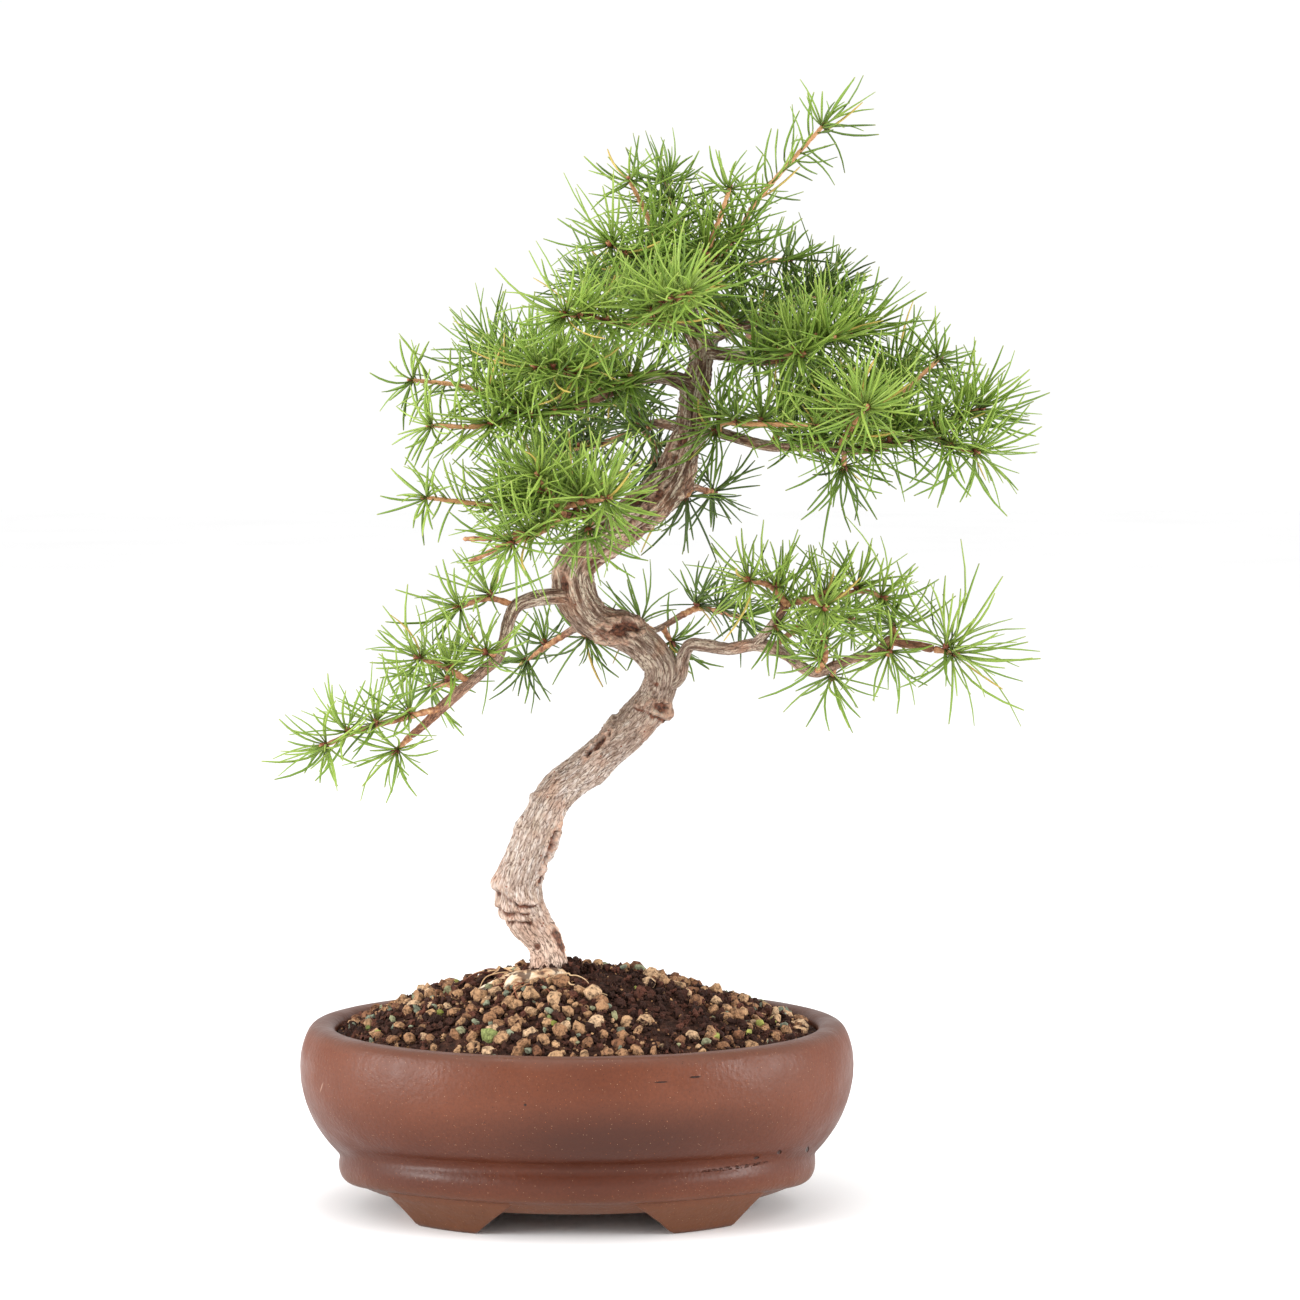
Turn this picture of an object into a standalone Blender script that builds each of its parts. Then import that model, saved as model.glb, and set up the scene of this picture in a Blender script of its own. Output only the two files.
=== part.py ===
"""A larch bonsai in an oval unglazed pot: the pot, its drain meshes, the soil, the tree and its sprays.

All lengths are in metres, +Z is up and the table is at z = 0. Every piece is modelled about the pot's
centre, and a parent empty shifts the whole so that the middle of its bounding box is over the world origin.
"""

import math

import bmesh
import bpy
import numpy as np
from mathutils import Matrix, Quaternion, Vector

# Where the pot's centre stands in the world
POT_CENTRE = (-0.0288, 0.0021, 0.0)

# Pieces that touch on the real object are this far apart
GAP = 0.0003

# Pot
POT_STEPS = 32
POT_DEPTH_SHARE = 0.77
POT_UNDERSIDE = 0.010
POT_FLOOR = 0.018
INNER_PROFILE = [
    (0.0780, POT_FLOOR), (0.0885, 0.0225), (0.0935, 0.0320), (0.0958, 0.0460), (0.0962, 0.0600),
    (0.0955, 0.0690),
]
LIP_PROFILE = [(0.0963, 0.0722), (0.0985, 0.0730), (0.1030, 0.0730), (0.1054, 0.0722)]
OUTER_PROFILE = [
    (0.1075, 0.0688), (0.1090, 0.0642), (0.1098, 0.0585), (0.1097, 0.0520), (0.1082, 0.0451), (0.1056, 0.0380),
    (0.1018, 0.0308), (0.0980, 0.0247),
]
BAND_PROFILE = [
    (0.0956, 0.0218), (0.0944, 0.0206), (0.0952, 0.0194), (0.0948, 0.0140), (0.0937, 0.0117), (0.0915, 0.0103),
]
FLAT_UNDERSIDE = (0.0870, POT_UNDERSIDE)

# The low band rises and stands proud towards the middle of the long sides
BAND_LIFT = 0.0042
BAND_PROUD = 0.0016
BAND_TOP = 0.024
BAND_SHELF = 0.020
BAND_FADE = 0.020
BAND_FROM_RADIUS = 0.0880
OUTSIDE_RADIUS = 0.0940

# Feet: the cut of an elliptic ring by four slanted blocks
FOOT_RING = [(0.0650, 0.0120), (0.0870, 0.0120), (0.0790, 0.0), (0.0675, 0.0)]
FOOT_BLOCK_TOP = 0.0125
FOOT_BLOCK_BELOW = -0.002
FOOT_BLOCK_FAR = 0.077
FOOT_INNER_END = (0.026, 0.038)
FOOT_OUTER_END = (0.072, 0.061)
FOOT_NEAR_END = (0.018, 0.026)

# Drain holes and the mesh over them
DRAIN_X = 0.045
DRAIN_RADIUS = 0.0085
DRAIN_SIDES = 20
MESH_SIDE = 0.026
MESH_BARS = 3
MESH_BAR = 0.0012
MESH_CROSSING = 0.0003

# Soil: a mound that falls from the foot of the trunk to the wall
SOIL_RINGS = 8
SOIL_EDGE = 0.0695
SOIL_WALL_TOP = 0.0685
SOIL_WALL_GAP = 0.00048
SOIL_HOLE_GAP = 0.00042
SOIL_CREST = 0.0945
SOIL_FALL = 1.55
SOIL_CREST_AT = (-0.005, 0.0)
SOIL_RELIEF = 0.0017
SOIL_RELIEF_EDGE = 6.0
SOIL_SEED = 11
TRUNK_HOLE_TOP = 0.112

# Tree: routes are (x, y, z, radius)
TRUNK_SIDES = 8
BRANCH_SIDES = 6
TRUNK = [
    (-0.010, 0.003, 0.036, 0.0030), (-0.010, 0.003, 0.054, 0.0065), (-0.011, 0.002, 0.072, 0.0092),
    (-0.012, 0.002, 0.087, 0.0098), (-0.011, 0.001, 0.095, 0.0080), (-0.013, 0.000, 0.104, 0.0069),
    (-0.018, -0.002, 0.113, 0.0079), (-0.022, -0.003, 0.121, 0.0087), (-0.023, -0.004, 0.129, 0.0091),
    (-0.020, -0.004, 0.138, 0.0087), (-0.017, -0.003, 0.146, 0.0083), (-0.014, -0.001, 0.154, 0.0077),
    (-0.009, 0.002, 0.163, 0.0075), (0.004, 0.006, 0.174, 0.0073), (0.019, 0.009, 0.187, 0.0075),
    (0.027, 0.010, 0.196, 0.0075), (0.032, 0.010, 0.205, 0.0069), (0.033, 0.008, 0.213, 0.0067),
    (0.028, 0.006, 0.221, 0.0067), (0.019, 0.003, 0.228, 0.0069), (0.006, 0.000, 0.234, 0.0073),
    (0.000, -0.003, 0.244, 0.0079), (-0.001, -0.005, 0.253, 0.0077), (0.003, -0.005, 0.260, 0.0079),
    (0.011, -0.003, 0.266, 0.0083), (0.020, 0.000, 0.272, 0.0083), (0.030, 0.003, 0.279, 0.0085),
    (0.038, 0.005, 0.289, 0.0075), (0.042, 0.005, 0.299, 0.0063), (0.046, 0.004, 0.309, 0.0061),
    (0.046, 0.002, 0.319, 0.0059), (0.047, 0.000, 0.326, 0.0057), (0.049, -0.002, 0.334, 0.0048),
    (0.049, -0.003, 0.341, 0.0043), (0.045, -0.004, 0.349, 0.0038), (0.044, -0.004, 0.357, 0.0032),
    (0.047, -0.003, 0.366, 0.0026), (0.051, -0.002, 0.371, 0.0022),
]
ROOTS = [
    [(-0.013, 0.001, 0.092, 0.0042), (-0.024, -0.001, 0.091, 0.0032), (-0.034, -0.004, 0.086, 0.0024),
     (-0.046, -0.008, 0.076, 0.0018), (-0.058, -0.012, 0.062, 0.0012)],
    [(-0.013, -0.002, 0.091, 0.0038), (-0.021, -0.012, 0.089, 0.0030), (-0.029, -0.021, 0.083, 0.0022),
     (-0.038, -0.032, 0.070, 0.0015)],
    [(-0.008, 0.001, 0.090, 0.0040), (0.003, -0.003, 0.088, 0.0032), (0.014, -0.006, 0.082, 0.0024),
     (0.028, -0.010, 0.069, 0.0015)],
    [(-0.008, 0.005, 0.090, 0.0040), (0.002, 0.015, 0.087, 0.0030), (0.012, 0.026, 0.079, 0.0022),
     (0.022, 0.038, 0.066, 0.0015)],
    [(-0.014, 0.006, 0.090, 0.0038), (-0.022, 0.017, 0.087, 0.0030), (-0.032, 0.028, 0.080, 0.0020),
     (-0.044, 0.038, 0.067, 0.0014)],
    [(-0.010, -0.003, 0.090, 0.0036), (-0.007, -0.014, 0.086, 0.0028), (-0.004, -0.026, 0.078, 0.0020),
     (0.000, -0.038, 0.064, 0.0014)],
]
BRANCHES = {
    "lower_left": [
        (0.000, -0.003, 0.242, 0.0032), (-0.009, -0.010, 0.243, 0.0032), (-0.018, -0.016, 0.242, 0.0030),
        (-0.023, -0.019, 0.240, 0.0028), (-0.026, -0.022, 0.234, 0.0026), (-0.028, -0.024, 0.226, 0.0024),
        (-0.030, -0.025, 0.221, 0.0028), (-0.036, -0.027, 0.215, 0.0024), (-0.044, -0.029, 0.208, 0.0022),
        (-0.052, -0.031, 0.201, 0.0020), (-0.058, -0.030, 0.195, 0.0017), (-0.064, -0.031, 0.190, 0.0015),
    ],
    "lower_left_rear": [
        (0.009, 0.002, 0.231, 0.0022), (0.000, 0.014, 0.229, 0.0018), (-0.006, 0.024, 0.225, 0.0014),
    ],
    "lower_right": [
        (0.035, 0.008, 0.207, 0.0032), (0.040, 0.007, 0.211, 0.0032), (0.042, 0.006, 0.218, 0.0028),
        (0.045, 0.004, 0.223, 0.0026), (0.050, 0.002, 0.223, 0.0026), (0.060, -0.003, 0.222, 0.0024),
        (0.070, -0.008, 0.224, 0.0024), (0.077, -0.012, 0.223, 0.0026), (0.083, -0.014, 0.220, 0.0022),
        (0.090, -0.018, 0.215, 0.0024), (0.094, -0.020, 0.214, 0.0022), (0.101, -0.021, 0.217, 0.0020),
        (0.109, -0.023, 0.220, 0.0018), (0.117, -0.024, 0.222, 0.0018), (0.123, -0.025, 0.227, 0.0020),
        (0.127, -0.026, 0.226, 0.0016), (0.134, -0.028, 0.225, 0.0018), (0.139, -0.030, 0.224, 0.0020),
    ],
    "lower_right_rise": [
        (0.070, -0.008, 0.224, 0.0020), (0.075, -0.014, 0.230, 0.0018), (0.079, -0.020, 0.236, 0.0016),
        (0.082, -0.024, 0.241, 0.0014),
    ],
    "low_rear": [
        (0.025, 0.006, 0.226, 0.0020), (0.029, 0.020, 0.227, 0.0014), (0.034, 0.032, 0.228, 0.0013),
        (0.042, 0.044, 0.232, 0.0012),
    ],
    "mid_left": [
        (0.025, 0.000, 0.276, 0.0028), (0.017, -0.016, 0.276, 0.0024), (0.007, -0.032, 0.276, 0.0022),
        (-0.004, -0.046, 0.277, 0.0020),
    ],
    "upper_left": [
        (0.047, 0.000, 0.324, 0.0036), (0.038, -0.006, 0.328, 0.0032), (0.030, -0.012, 0.329, 0.0026),
        (0.020, -0.020, 0.326, 0.0024), (0.010, -0.028, 0.322, 0.0022), (-0.002, -0.034, 0.317, 0.0020),
        (-0.013, -0.040, 0.315, 0.0018),
    ],
    "rear_left": [
        (0.044, 0.005, 0.308, 0.0024), (0.033, 0.018, 0.310, 0.0020), (0.026, 0.030, 0.308, 0.0018),
        (0.018, 0.042, 0.304, 0.0016),
    ],
    "upper_right": [
        (0.049, -0.002, 0.339, 0.0028), (0.056, -0.006, 0.338, 0.0026), (0.063, -0.012, 0.337, 0.0024),
        (0.071, -0.018, 0.335, 0.0022), (0.081, -0.026, 0.337, 0.0020),
    ],
    "rear_right": [
        (0.049, -0.003, 0.341, 0.0024), (0.057, 0.012, 0.345, 0.0020), (0.068, 0.026, 0.349, 0.0018),
        (0.079, 0.038, 0.352, 0.0016),
    ],
    "right": [
        (0.047, 0.004, 0.310, 0.0028), (0.053, 0.000, 0.308, 0.0024), (0.063, -0.008, 0.305, 0.0024),
        (0.076, -0.016, 0.302, 0.0022), (0.087, -0.022, 0.302, 0.0020), (0.099, -0.026, 0.302, 0.0020),
        (0.109, -0.028, 0.301, 0.0018), (0.120, -0.030, 0.303, 0.0016), (0.131, -0.030, 0.306, 0.0014),
    ],
    "rear_low": [
        (0.042, 0.006, 0.286, 0.0020), (0.046, 0.018, 0.285, 0.0016), (0.051, 0.026, 0.283, 0.0012),
    ],
    "crown_front": [
        (0.045, -0.004, 0.348, 0.0024), (0.037, -0.024, 0.349, 0.0018), (0.027, -0.044, 0.350, 0.0016),
    ],
    "crown_left": [
        (0.044, -0.004, 0.359, 0.0020), (0.038, -0.005, 0.365, 0.0016), (0.031, -0.006, 0.372, 0.0014),
    ],
}
# Old scars and knobs that stand out of the trunk: (x, y, z, half-width, half-height)
KNOBS = [
    (-0.0235, -0.0050, 0.1275, 0.0099, 0.0026), (-0.0212, -0.0045, 0.1180, 0.0093, 0.0024),
    (0.0118, 0.0050, 0.1862, 0.0050, 0.0056), (0.0335, 0.0085, 0.1975, 0.0058, 0.0040),
    (0.0170, -0.0030, 0.2290, 0.0062, 0.0058), (-0.0125, -0.0020, 0.1365, 0.0044, 0.0060),
    (-0.0082, 0.0000, 0.1060, 0.0032, 0.0050),
]

# Sprays. A stub of the tree carries each one, which starts a gap beyond the stub's end
SEAT_PAST_BARK = 0.0016
STUB_RADIUS = 0.0014
TWIG_RADIUS = 0.0013
TWIG_TIP_RADIUS = 0.0010
TWIG_SIDES = 4
SPUR_LENGTH = 0.0060
FORK_AFTER_SEAT = 0.0028

# Needles: three-sided and tapered to a point, with their roots on the twig's axis
NEEDLE_SEED = 7
NEEDLE_LENGTH = (0.024, 0.031)
NEEDLE_RADIUS = 0.00056
NEEDLE_STEP_ON_SHOOT = 0.0036
SHOOT_LEAN = (50.0, 68.0)
GOLDEN_ANGLE = 137.508
# The rows of a rosette: (how far its roots stand back along the twig, needles, lean in degrees)
TIP_ROWS = ((0.0014, 1, 12.0), (0.0022, 3, 46.0), (0.0036, 3, 84.0))
TUFT_ROWS = ((0.0014, 2, 18.0), (0.0026, 3, 42.0))
SIDE_ROWS = ((-0.0007, 2, 62.0), (0.0007, 3, 92.0))
FIRST_ON_SHOOT = 0.08
NEEDLE_CLEARANCE = 0.00035
NEEDLE_TRIES = 80
# How far a needle may turn and tilt from its place, in degrees: (at the first try, how much more at the last)
TURN_SPREAD = (7.0, 50.0)
TILT_SPREAD = (5.0, 18.0)
SHORTEST_SHARE = 0.62
# Needles of one spray may meet near the twig, but keep apart this far out
CLEAR_BEYOND = 0.0042
OWN_CLEARANCE = 0.00005
OWN_TRIES_SHARE = 0.6

# Each spray is a list of twigs: (kind, places of its side rosettes as shares of its length, route).
# A spur is one rosette near the bark, a twig has rosettes along it and at its tip, and a shoot has
# single needles in a spiral. The first twig starts at the tree, and any others fork from it.
SPRAYS = {
    "lower_left_tip": [("twig", (0.30, 0.58, 0.80), [
        (-0.052, -0.031, 0.201), (-0.059, -0.038, 0.200), (-0.067, -0.042, 0.198), (-0.080, -0.046, 0.195),
        (-0.095, -0.052, 0.189)])],
    "lower_left_under": [("spur", (), [(-0.064, -0.031, 0.190), (-0.069, -0.034, 0.185)])],
    "lower_left_top": [("twig", (0.45,), [
        (-0.023, -0.019, 0.240), (-0.033, -0.021, 0.243), (-0.045, -0.026, 0.240)])],
    "lower_left_inner": [("spur", (), [(-0.030, -0.025, 0.221), (-0.037, -0.034, 0.224)])],
    "lower_left_mid": [("twig", (0.45,), [
        (-0.041, -0.028, 0.211), (-0.050, -0.031, 0.217), (-0.060, -0.035, 0.221)])],
    "lower_left_rear": [("twig", (0.5,), [
        (-0.045, -0.029, 0.207), (-0.050, -0.014, 0.209), (-0.057, 0.000, 0.207)])],
    "low_rear_left": [("twig", (0.42,), [
        (-0.006, 0.024, 0.225), (-0.013, 0.031, 0.220), (-0.021, 0.040, 0.214)])],
    "low_rear_left_spur": [("spur", (), [(0.000, 0.014, 0.229), (0.006, 0.022, 0.223)])],
    "lower_right_end": [("spur", (), [(0.139, -0.030, 0.224), (0.144, -0.031, 0.223)])],
    "lower_right_under": [("spur", (), [(0.123, -0.025, 0.227), (0.121, -0.033, 0.222)])],
    "lower_right_upspur": [("spur", (), [(0.125, -0.025, 0.227), (0.123, -0.019, 0.233)])],
    "lower_right_mid": [("twig", (0.42,), [
        (0.094, -0.020, 0.214), (0.097, -0.028, 0.221), (0.096, -0.034, 0.228)])],
    "lower_right_low": [("spur", (), [(0.101, -0.021, 0.217), (0.100, -0.014, 0.211)])],
    "lower_right_rise_left": [("twig", (0.42,), [
        (0.082, -0.024, 0.241), (0.076, -0.028, 0.248), (0.067, -0.034, 0.251)])],
    "lower_right_rise_right": [
        ("twig", (0.40, 0.72), [
            (0.082, -0.024, 0.241), (0.092, -0.021, 0.243), (0.102, -0.020, 0.244), (0.112, -0.022, 0.246),
            (0.119, -0.026, 0.244)]),
        ("twig", (), [(0.090, -0.030, 0.243), (0.096, -0.041, 0.241)]),
    ],
    "lower_right_rear": [("twig", (0.35, 0.70), [
        (0.077, -0.012, 0.223), (0.086, 0.008, 0.228), (0.098, 0.026, 0.230), (0.110, 0.040, 0.230)])],
    "low_rear_right": [("twig", (0.28, 0.62), [
        (0.042, 0.044, 0.232), (0.049, 0.054, 0.234), (0.057, 0.062, 0.232), (0.067, 0.070, 0.229)])],
    "low_rear_right_spur": [("spur", (), [(0.030, 0.022, 0.227), (0.022, 0.028, 0.233)])],
    "low_rear_mid_spur": [("spur", (), [(0.034, 0.032, 0.228), (0.038, 0.034, 0.221)])],
    "mid_left_up": [
        ("twig", (0.48,), [(-0.004, -0.046, 0.277), (-0.009, -0.056, 0.285), (-0.013, -0.063, 0.292)]),
        ("twig", (0.55,), [(0.003, -0.060, 0.282), (0.013, -0.070, 0.284)]),
    ],
    "mid_left_down": [("twig", (0.45,), [
        (-0.004, -0.046, 0.277), (-0.012, -0.058, 0.271), (-0.023, -0.068, 0.267)])],
    "mid_left_long": [("shoot", (0.16, 0.34), [
        (-0.004, -0.046, 0.277), (-0.016, -0.048, 0.279), (-0.026, -0.052, 0.280), (-0.041, -0.057, 0.282),
        (-0.056, -0.061, 0.284)])],
    "mid_left_rear": [("twig", (0.50,), [
        (0.012, -0.024, 0.276), (-0.001, -0.010, 0.282), (-0.011, 0.006, 0.284), (-0.021, 0.020, 0.284)])],
    "mid_left_under": [("spur", (), [(0.007, -0.032, 0.276), (0.005, -0.039, 0.269)])],
    "upper_left_face": [("spur", (), [(-0.013, -0.040, 0.315), (-0.018, -0.052, 0.315)])],
    "upper_left_shoot": [
        ("shoot", (0.25,), [
            (-0.013, -0.040, 0.315), (-0.027, -0.036, 0.320), (-0.040, -0.037, 0.325),
            (-0.062, -0.040, 0.328)]),
        ("shoot", (0.30,), [(-0.032, -0.050, 0.311), (-0.054, -0.058, 0.311)]),
    ],
    "upper_left_ridge": [("twig", (0.35, 0.68), [
        (0.011, -0.028, 0.322), (0.004, -0.036, 0.329), (-0.003, -0.043, 0.331), (-0.014, -0.049, 0.333)])],
    "upper_left_rear": [("twig", (0.35, 0.70), [
        (-0.002, -0.034, 0.317), (-0.012, -0.012, 0.326), (-0.022, 0.006, 0.332), (-0.034, 0.018, 0.338)])],
    "upper_left_heart": [("spur", (), [(0.020, -0.020, 0.326), (0.022, -0.031, 0.331)])],
    "rear_left_low": [("twig", (0.32, 0.66), [
        (0.018, 0.042, 0.304), (0.006, 0.054, 0.300), (-0.008, 0.066, 0.297)])],
    "rear_left_drop": [("twig", (0.42,), [
        (0.026, 0.030, 0.308), (0.031, 0.041, 0.299), (0.029, 0.054, 0.291)])],
    "rear_left_high": [("twig", (0.34, 0.66), [
        (0.026, 0.030, 0.308), (0.021, 0.040, 0.319), (0.012, 0.056, 0.322), (0.000, 0.073, 0.325)])],
    "crown_front": [
        ("twig", (0.35, 0.70), [
            (0.027, -0.044, 0.350), (0.018, -0.052, 0.350), (0.004, -0.060, 0.352), (-0.003, -0.066, 0.353)]),
        ("twig", (0.55,), [(0.034, -0.060, 0.356), (0.043, -0.075, 0.361)]),
    ],
    "crown_left_low": [("twig", (0.52,), [
        (0.031, -0.006, 0.372), (0.023, -0.016, 0.375), (0.014, -0.027, 0.380)])],
    "crown_left_high": [("shoot", (0.22,), [
        (0.031, -0.006, 0.372), (0.029, -0.003, 0.388), (0.021, -0.009, 0.405)])],
    "crown_top_left": [("twig", (0.35, 0.70), [
        (0.045, -0.004, 0.361), (0.042, 0.009, 0.368), (0.041, 0.015, 0.384), (0.035, 0.018, 0.406)])],
    "crown_top_mid": [("shoot", (0.30,), [
        (0.049, -0.003, 0.369), (0.053, -0.012, 0.382), (0.057, -0.012, 0.393), (0.060, -0.010, 0.402)])],
    "leader": [("shoot", (0.08, 0.20), [
        (0.051, -0.002, 0.371), (0.063, 0.002, 0.384), (0.070, 0.006, 0.396), (0.079, 0.008, 0.407),
        (0.088, 0.010, 0.417), (0.097, 0.012, 0.427)])],
    "crown_rear_left": [("twig", (0.32, 0.64), [
        (0.044, -0.004, 0.355), (0.034, 0.022, 0.360), (0.022, 0.044, 0.364), (0.007, 0.062, 0.366)])],
    "crown_rear_right": [("shoot", (0.28,), [
        (0.048, -0.003, 0.367), (0.060, 0.012, 0.370), (0.072, 0.026, 0.374), (0.085, 0.038, 0.375)])],
    "crown_rear": [("twig", (0.46,), [
        (0.045, -0.004, 0.351), (0.046, 0.030, 0.358), (0.050, 0.062, 0.362)])],
    "upper_right_fan": [
        ("twig", (0.52,), [(0.081, -0.026, 0.337), (0.089, -0.032, 0.341), (0.098, -0.040, 0.344)]),
        ("twig", (), [(0.087, -0.042, 0.338)]),
    ],
    "upper_right_far": [("twig", (0.38, 0.70), [
        (0.079, -0.024, 0.337), (0.091, -0.015, 0.341), (0.102, -0.011, 0.345), (0.112, -0.009, 0.347)])],
    "upper_right_rear": [("twig", (0.34, 0.66), [
        (0.079, 0.038, 0.352), (0.090, 0.050, 0.359), (0.103, 0.060, 0.362)])],
    "upper_right_rear_low": [("twig", (0.44,), [
        (0.068, 0.026, 0.349), (0.070, 0.040, 0.342), (0.079, 0.052, 0.338), (0.089, 0.061, 0.337)])],
    "right_near": [("shoot", (0.12,), [
        (0.056, -0.002, 0.307), (0.057, -0.018, 0.311), (0.068, -0.032, 0.311), (0.092, -0.050, 0.311)])],
    "right_face": [("twig", (0.50,), [
        (0.102, -0.027, 0.302), (0.106, -0.048, 0.311), (0.110, -0.068, 0.318)])],
    "right_under": [("spur", (), [(0.104, -0.027, 0.301), (0.104, -0.023, 0.293)])],
    "right_end": [
        ("twig", (0.30, 0.62), [(0.131, -0.030, 0.306), (0.143, -0.030, 0.311), (0.156, -0.028, 0.317)]),
        ("twig", (0.60,), [(0.143, -0.037, 0.303), (0.153, -0.043, 0.301)]),
    ],
    "right_rise": [("shoot", (0.26,), [
        (0.118, -0.030, 0.303), (0.125, -0.027, 0.320), (0.141, -0.020, 0.336)])],
    "right_rise_rear": [("twig", (0.50,), [
        (0.110, -0.028, 0.301), (0.118, -0.006, 0.315), (0.128, 0.008, 0.332)])],
    "right_rear": [("twig", (0.34, 0.66), [
        (0.087, -0.022, 0.302), (0.096, 0.004, 0.309), (0.108, 0.026, 0.315), (0.120, 0.042, 0.316)])],
    "right_inner": [("twig", (0.50,), [
        (0.076, -0.016, 0.302), (0.084, -0.004, 0.315), (0.093, 0.006, 0.325)])],
    "rear_low": [("spur", (), [(0.051, 0.026, 0.283), (0.056, 0.036, 0.282)])],
    "rear_low_spur": [("spur", (), [(0.046, 0.018, 0.285), (0.042, 0.026, 0.278)])],
}

# Colours and finishes: name, base colour, roughness
FINISHES = {
    "clay": ((0.24, 0.105, 0.062), 0.55),
    "soil": ((0.085, 0.050, 0.032), 0.95),
    "bark": ((0.42, 0.31, 0.22), 0.85),
    "needles": ((0.16, 0.33, 0.05), 0.50),
    "plastic_mesh": ((0.03, 0.03, 0.03), 0.60),
}


def clear_scene():
    """Remove every object that the file opened with."""
    for obj in list(bpy.data.objects):
        bpy.data.objects.remove(obj)


def make_collection(name):
    collection = bpy.data.collections.new(name)
    bpy.context.scene.collection.children.link(collection)
    return collection


def make_material(name):
    """A Principled material with the finish's colour and roughness."""
    colour, roughness = FINISHES[name]
    material = bpy.data.materials.new(name)
    material.use_nodes = True
    shader = material.node_tree.nodes["Principled BSDF"]
    shader.inputs["Base Color"].default_value = (*colour, 1.0)
    shader.inputs["Roughness"].default_value = roughness
    shader.inputs["Metallic"].default_value = 0.0
    return material


def add_object(name, data, collection):
    obj = bpy.data.objects.new(name, data)
    collection.objects.link(obj)
    return obj


def apply_modifiers(obj):
    """Put the evaluated mesh in place of the object's own, and drop the modifiers."""
    bpy.context.view_layer.update()
    evaluated = obj.evaluated_get(bpy.context.evaluated_depsgraph_get())
    mesh = bpy.data.meshes.new_from_object(evaluated)
    obj.modifiers.clear()
    obj.data = mesh


def as_cutter(obj):
    obj.hide_render = True
    obj.display_type = "WIRE"


def boolean(target, pieces, operation):
    """One Boolean of the target with all the pieces, which are then removed."""
    group = make_collection(target.name + "_pieces")
    for piece in pieces:
        for holder in list(piece.users_collection):
            holder.objects.unlink(piece)
        group.objects.link(piece)
    modifier = target.modifiers.new(operation, "BOOLEAN")
    modifier.operation = operation
    modifier.operand_type = "COLLECTION"
    modifier.collection = group
    modifier.solver = "EXACT"
    apply_modifiers(target)
    for piece in pieces:
        bpy.data.objects.remove(piece)
    bpy.data.collections.remove(group)


def shade_smooth(obj, sharp_from=math.radians(40)):
    obj.data.shade_smooth()
    obj.data.set_sharp_from_angle(angle=sharp_from)


def tube(name, route, sides, collection):
    """A closed tube along the points (x, y, z, radius): a bevelled curve, welded into a mesh."""
    curve = bpy.data.curves.new(name, "CURVE")
    curve.dimensions = "3D"
    curve.bevel_depth = 1.0
    curve.bevel_resolution = (sides - 4) // 2
    curve.use_fill_caps = True
    spline = curve.splines.new("POLY")
    spline.points.add(len(route) - 1)
    for point, (x, y, z, radius) in zip(spline.points, route):
        point.co = (x, y, z, 1.0)
        point.radius = radius
    guide = add_object(name + "_curve", curve, collection)
    bpy.context.view_layer.update()
    evaluated = guide.evaluated_get(bpy.context.evaluated_depsgraph_get())
    mesh = bpy.data.meshes.new_from_object(evaluated)
    bpy.data.objects.remove(guide)
    weld(mesh)
    return add_object(name, mesh, collection)


def weld(mesh):
    """Merge points that lie on each other, such as those of a tube's caps and sides."""
    shape = bmesh.new()
    shape.from_mesh(mesh)
    bmesh.ops.remove_doubles(shape, verts=shape.verts, dist=1e-6)
    shape.to_mesh(mesh)
    shape.free()
    turn_faces_out(mesh)


def turn_faces_out(mesh):
    shape = bmesh.new()
    shape.from_mesh(mesh)
    bmesh.ops.recalc_face_normals(shape, faces=shape.faces)
    shape.to_mesh(mesh)
    shape.free()


def turned(name, profile, steps, collection):
    """A solid turned about Z from a profile of (radius, z), with its depth brought in to the pot's oval."""
    mesh = bpy.data.meshes.new(name)
    points = [(radius, 0.0, z) for radius, z in profile]
    closing = [(i, i + 1) for i in range(len(points) - 1)]
    if profile[0][0] > 0:
        closing.append((len(points) - 1, 0))
    mesh.from_pydata(points, closing, [])
    obj = add_object(name, mesh, collection)
    screw = obj.modifiers.new("turn", "SCREW")
    screw.steps = steps
    screw.render_steps = steps
    screw.use_merge_vertices = True
    screw.merge_threshold = 1e-5
    apply_modifiers(obj)
    obj.data.transform(Matrix.Diagonal((1.0, POT_DEPTH_SHARE, 1.0, 1.0)))
    weld(obj.data)
    return obj


def box(name, low, high, collection):
    """A box between two corners."""
    low = Vector(low)
    high = Vector(high)
    shape = bmesh.new()
    bmesh.ops.create_cube(shape, size=1.0)
    size = Matrix.Diagonal((*(high - low), 1.0))
    shape.transform(Matrix.Translation((low + high) / 2) @ size)
    mesh = bpy.data.meshes.new(name)
    shape.to_mesh(mesh)
    shape.free()
    return add_object(name, mesh, collection)


def cylinder(name, centre, radius, length, sides, collection):
    """An upright cylinder about its centre."""
    shape = bmesh.new()
    bmesh.ops.create_cone(shape, cap_ends=True, segments=sides, radius1=radius, radius2=radius, depth=length)
    shape.transform(Matrix.Translation(centre))
    mesh = bpy.data.meshes.new(name)
    shape.to_mesh(mesh)
    shape.free()
    return add_object(name, mesh, collection)


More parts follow.
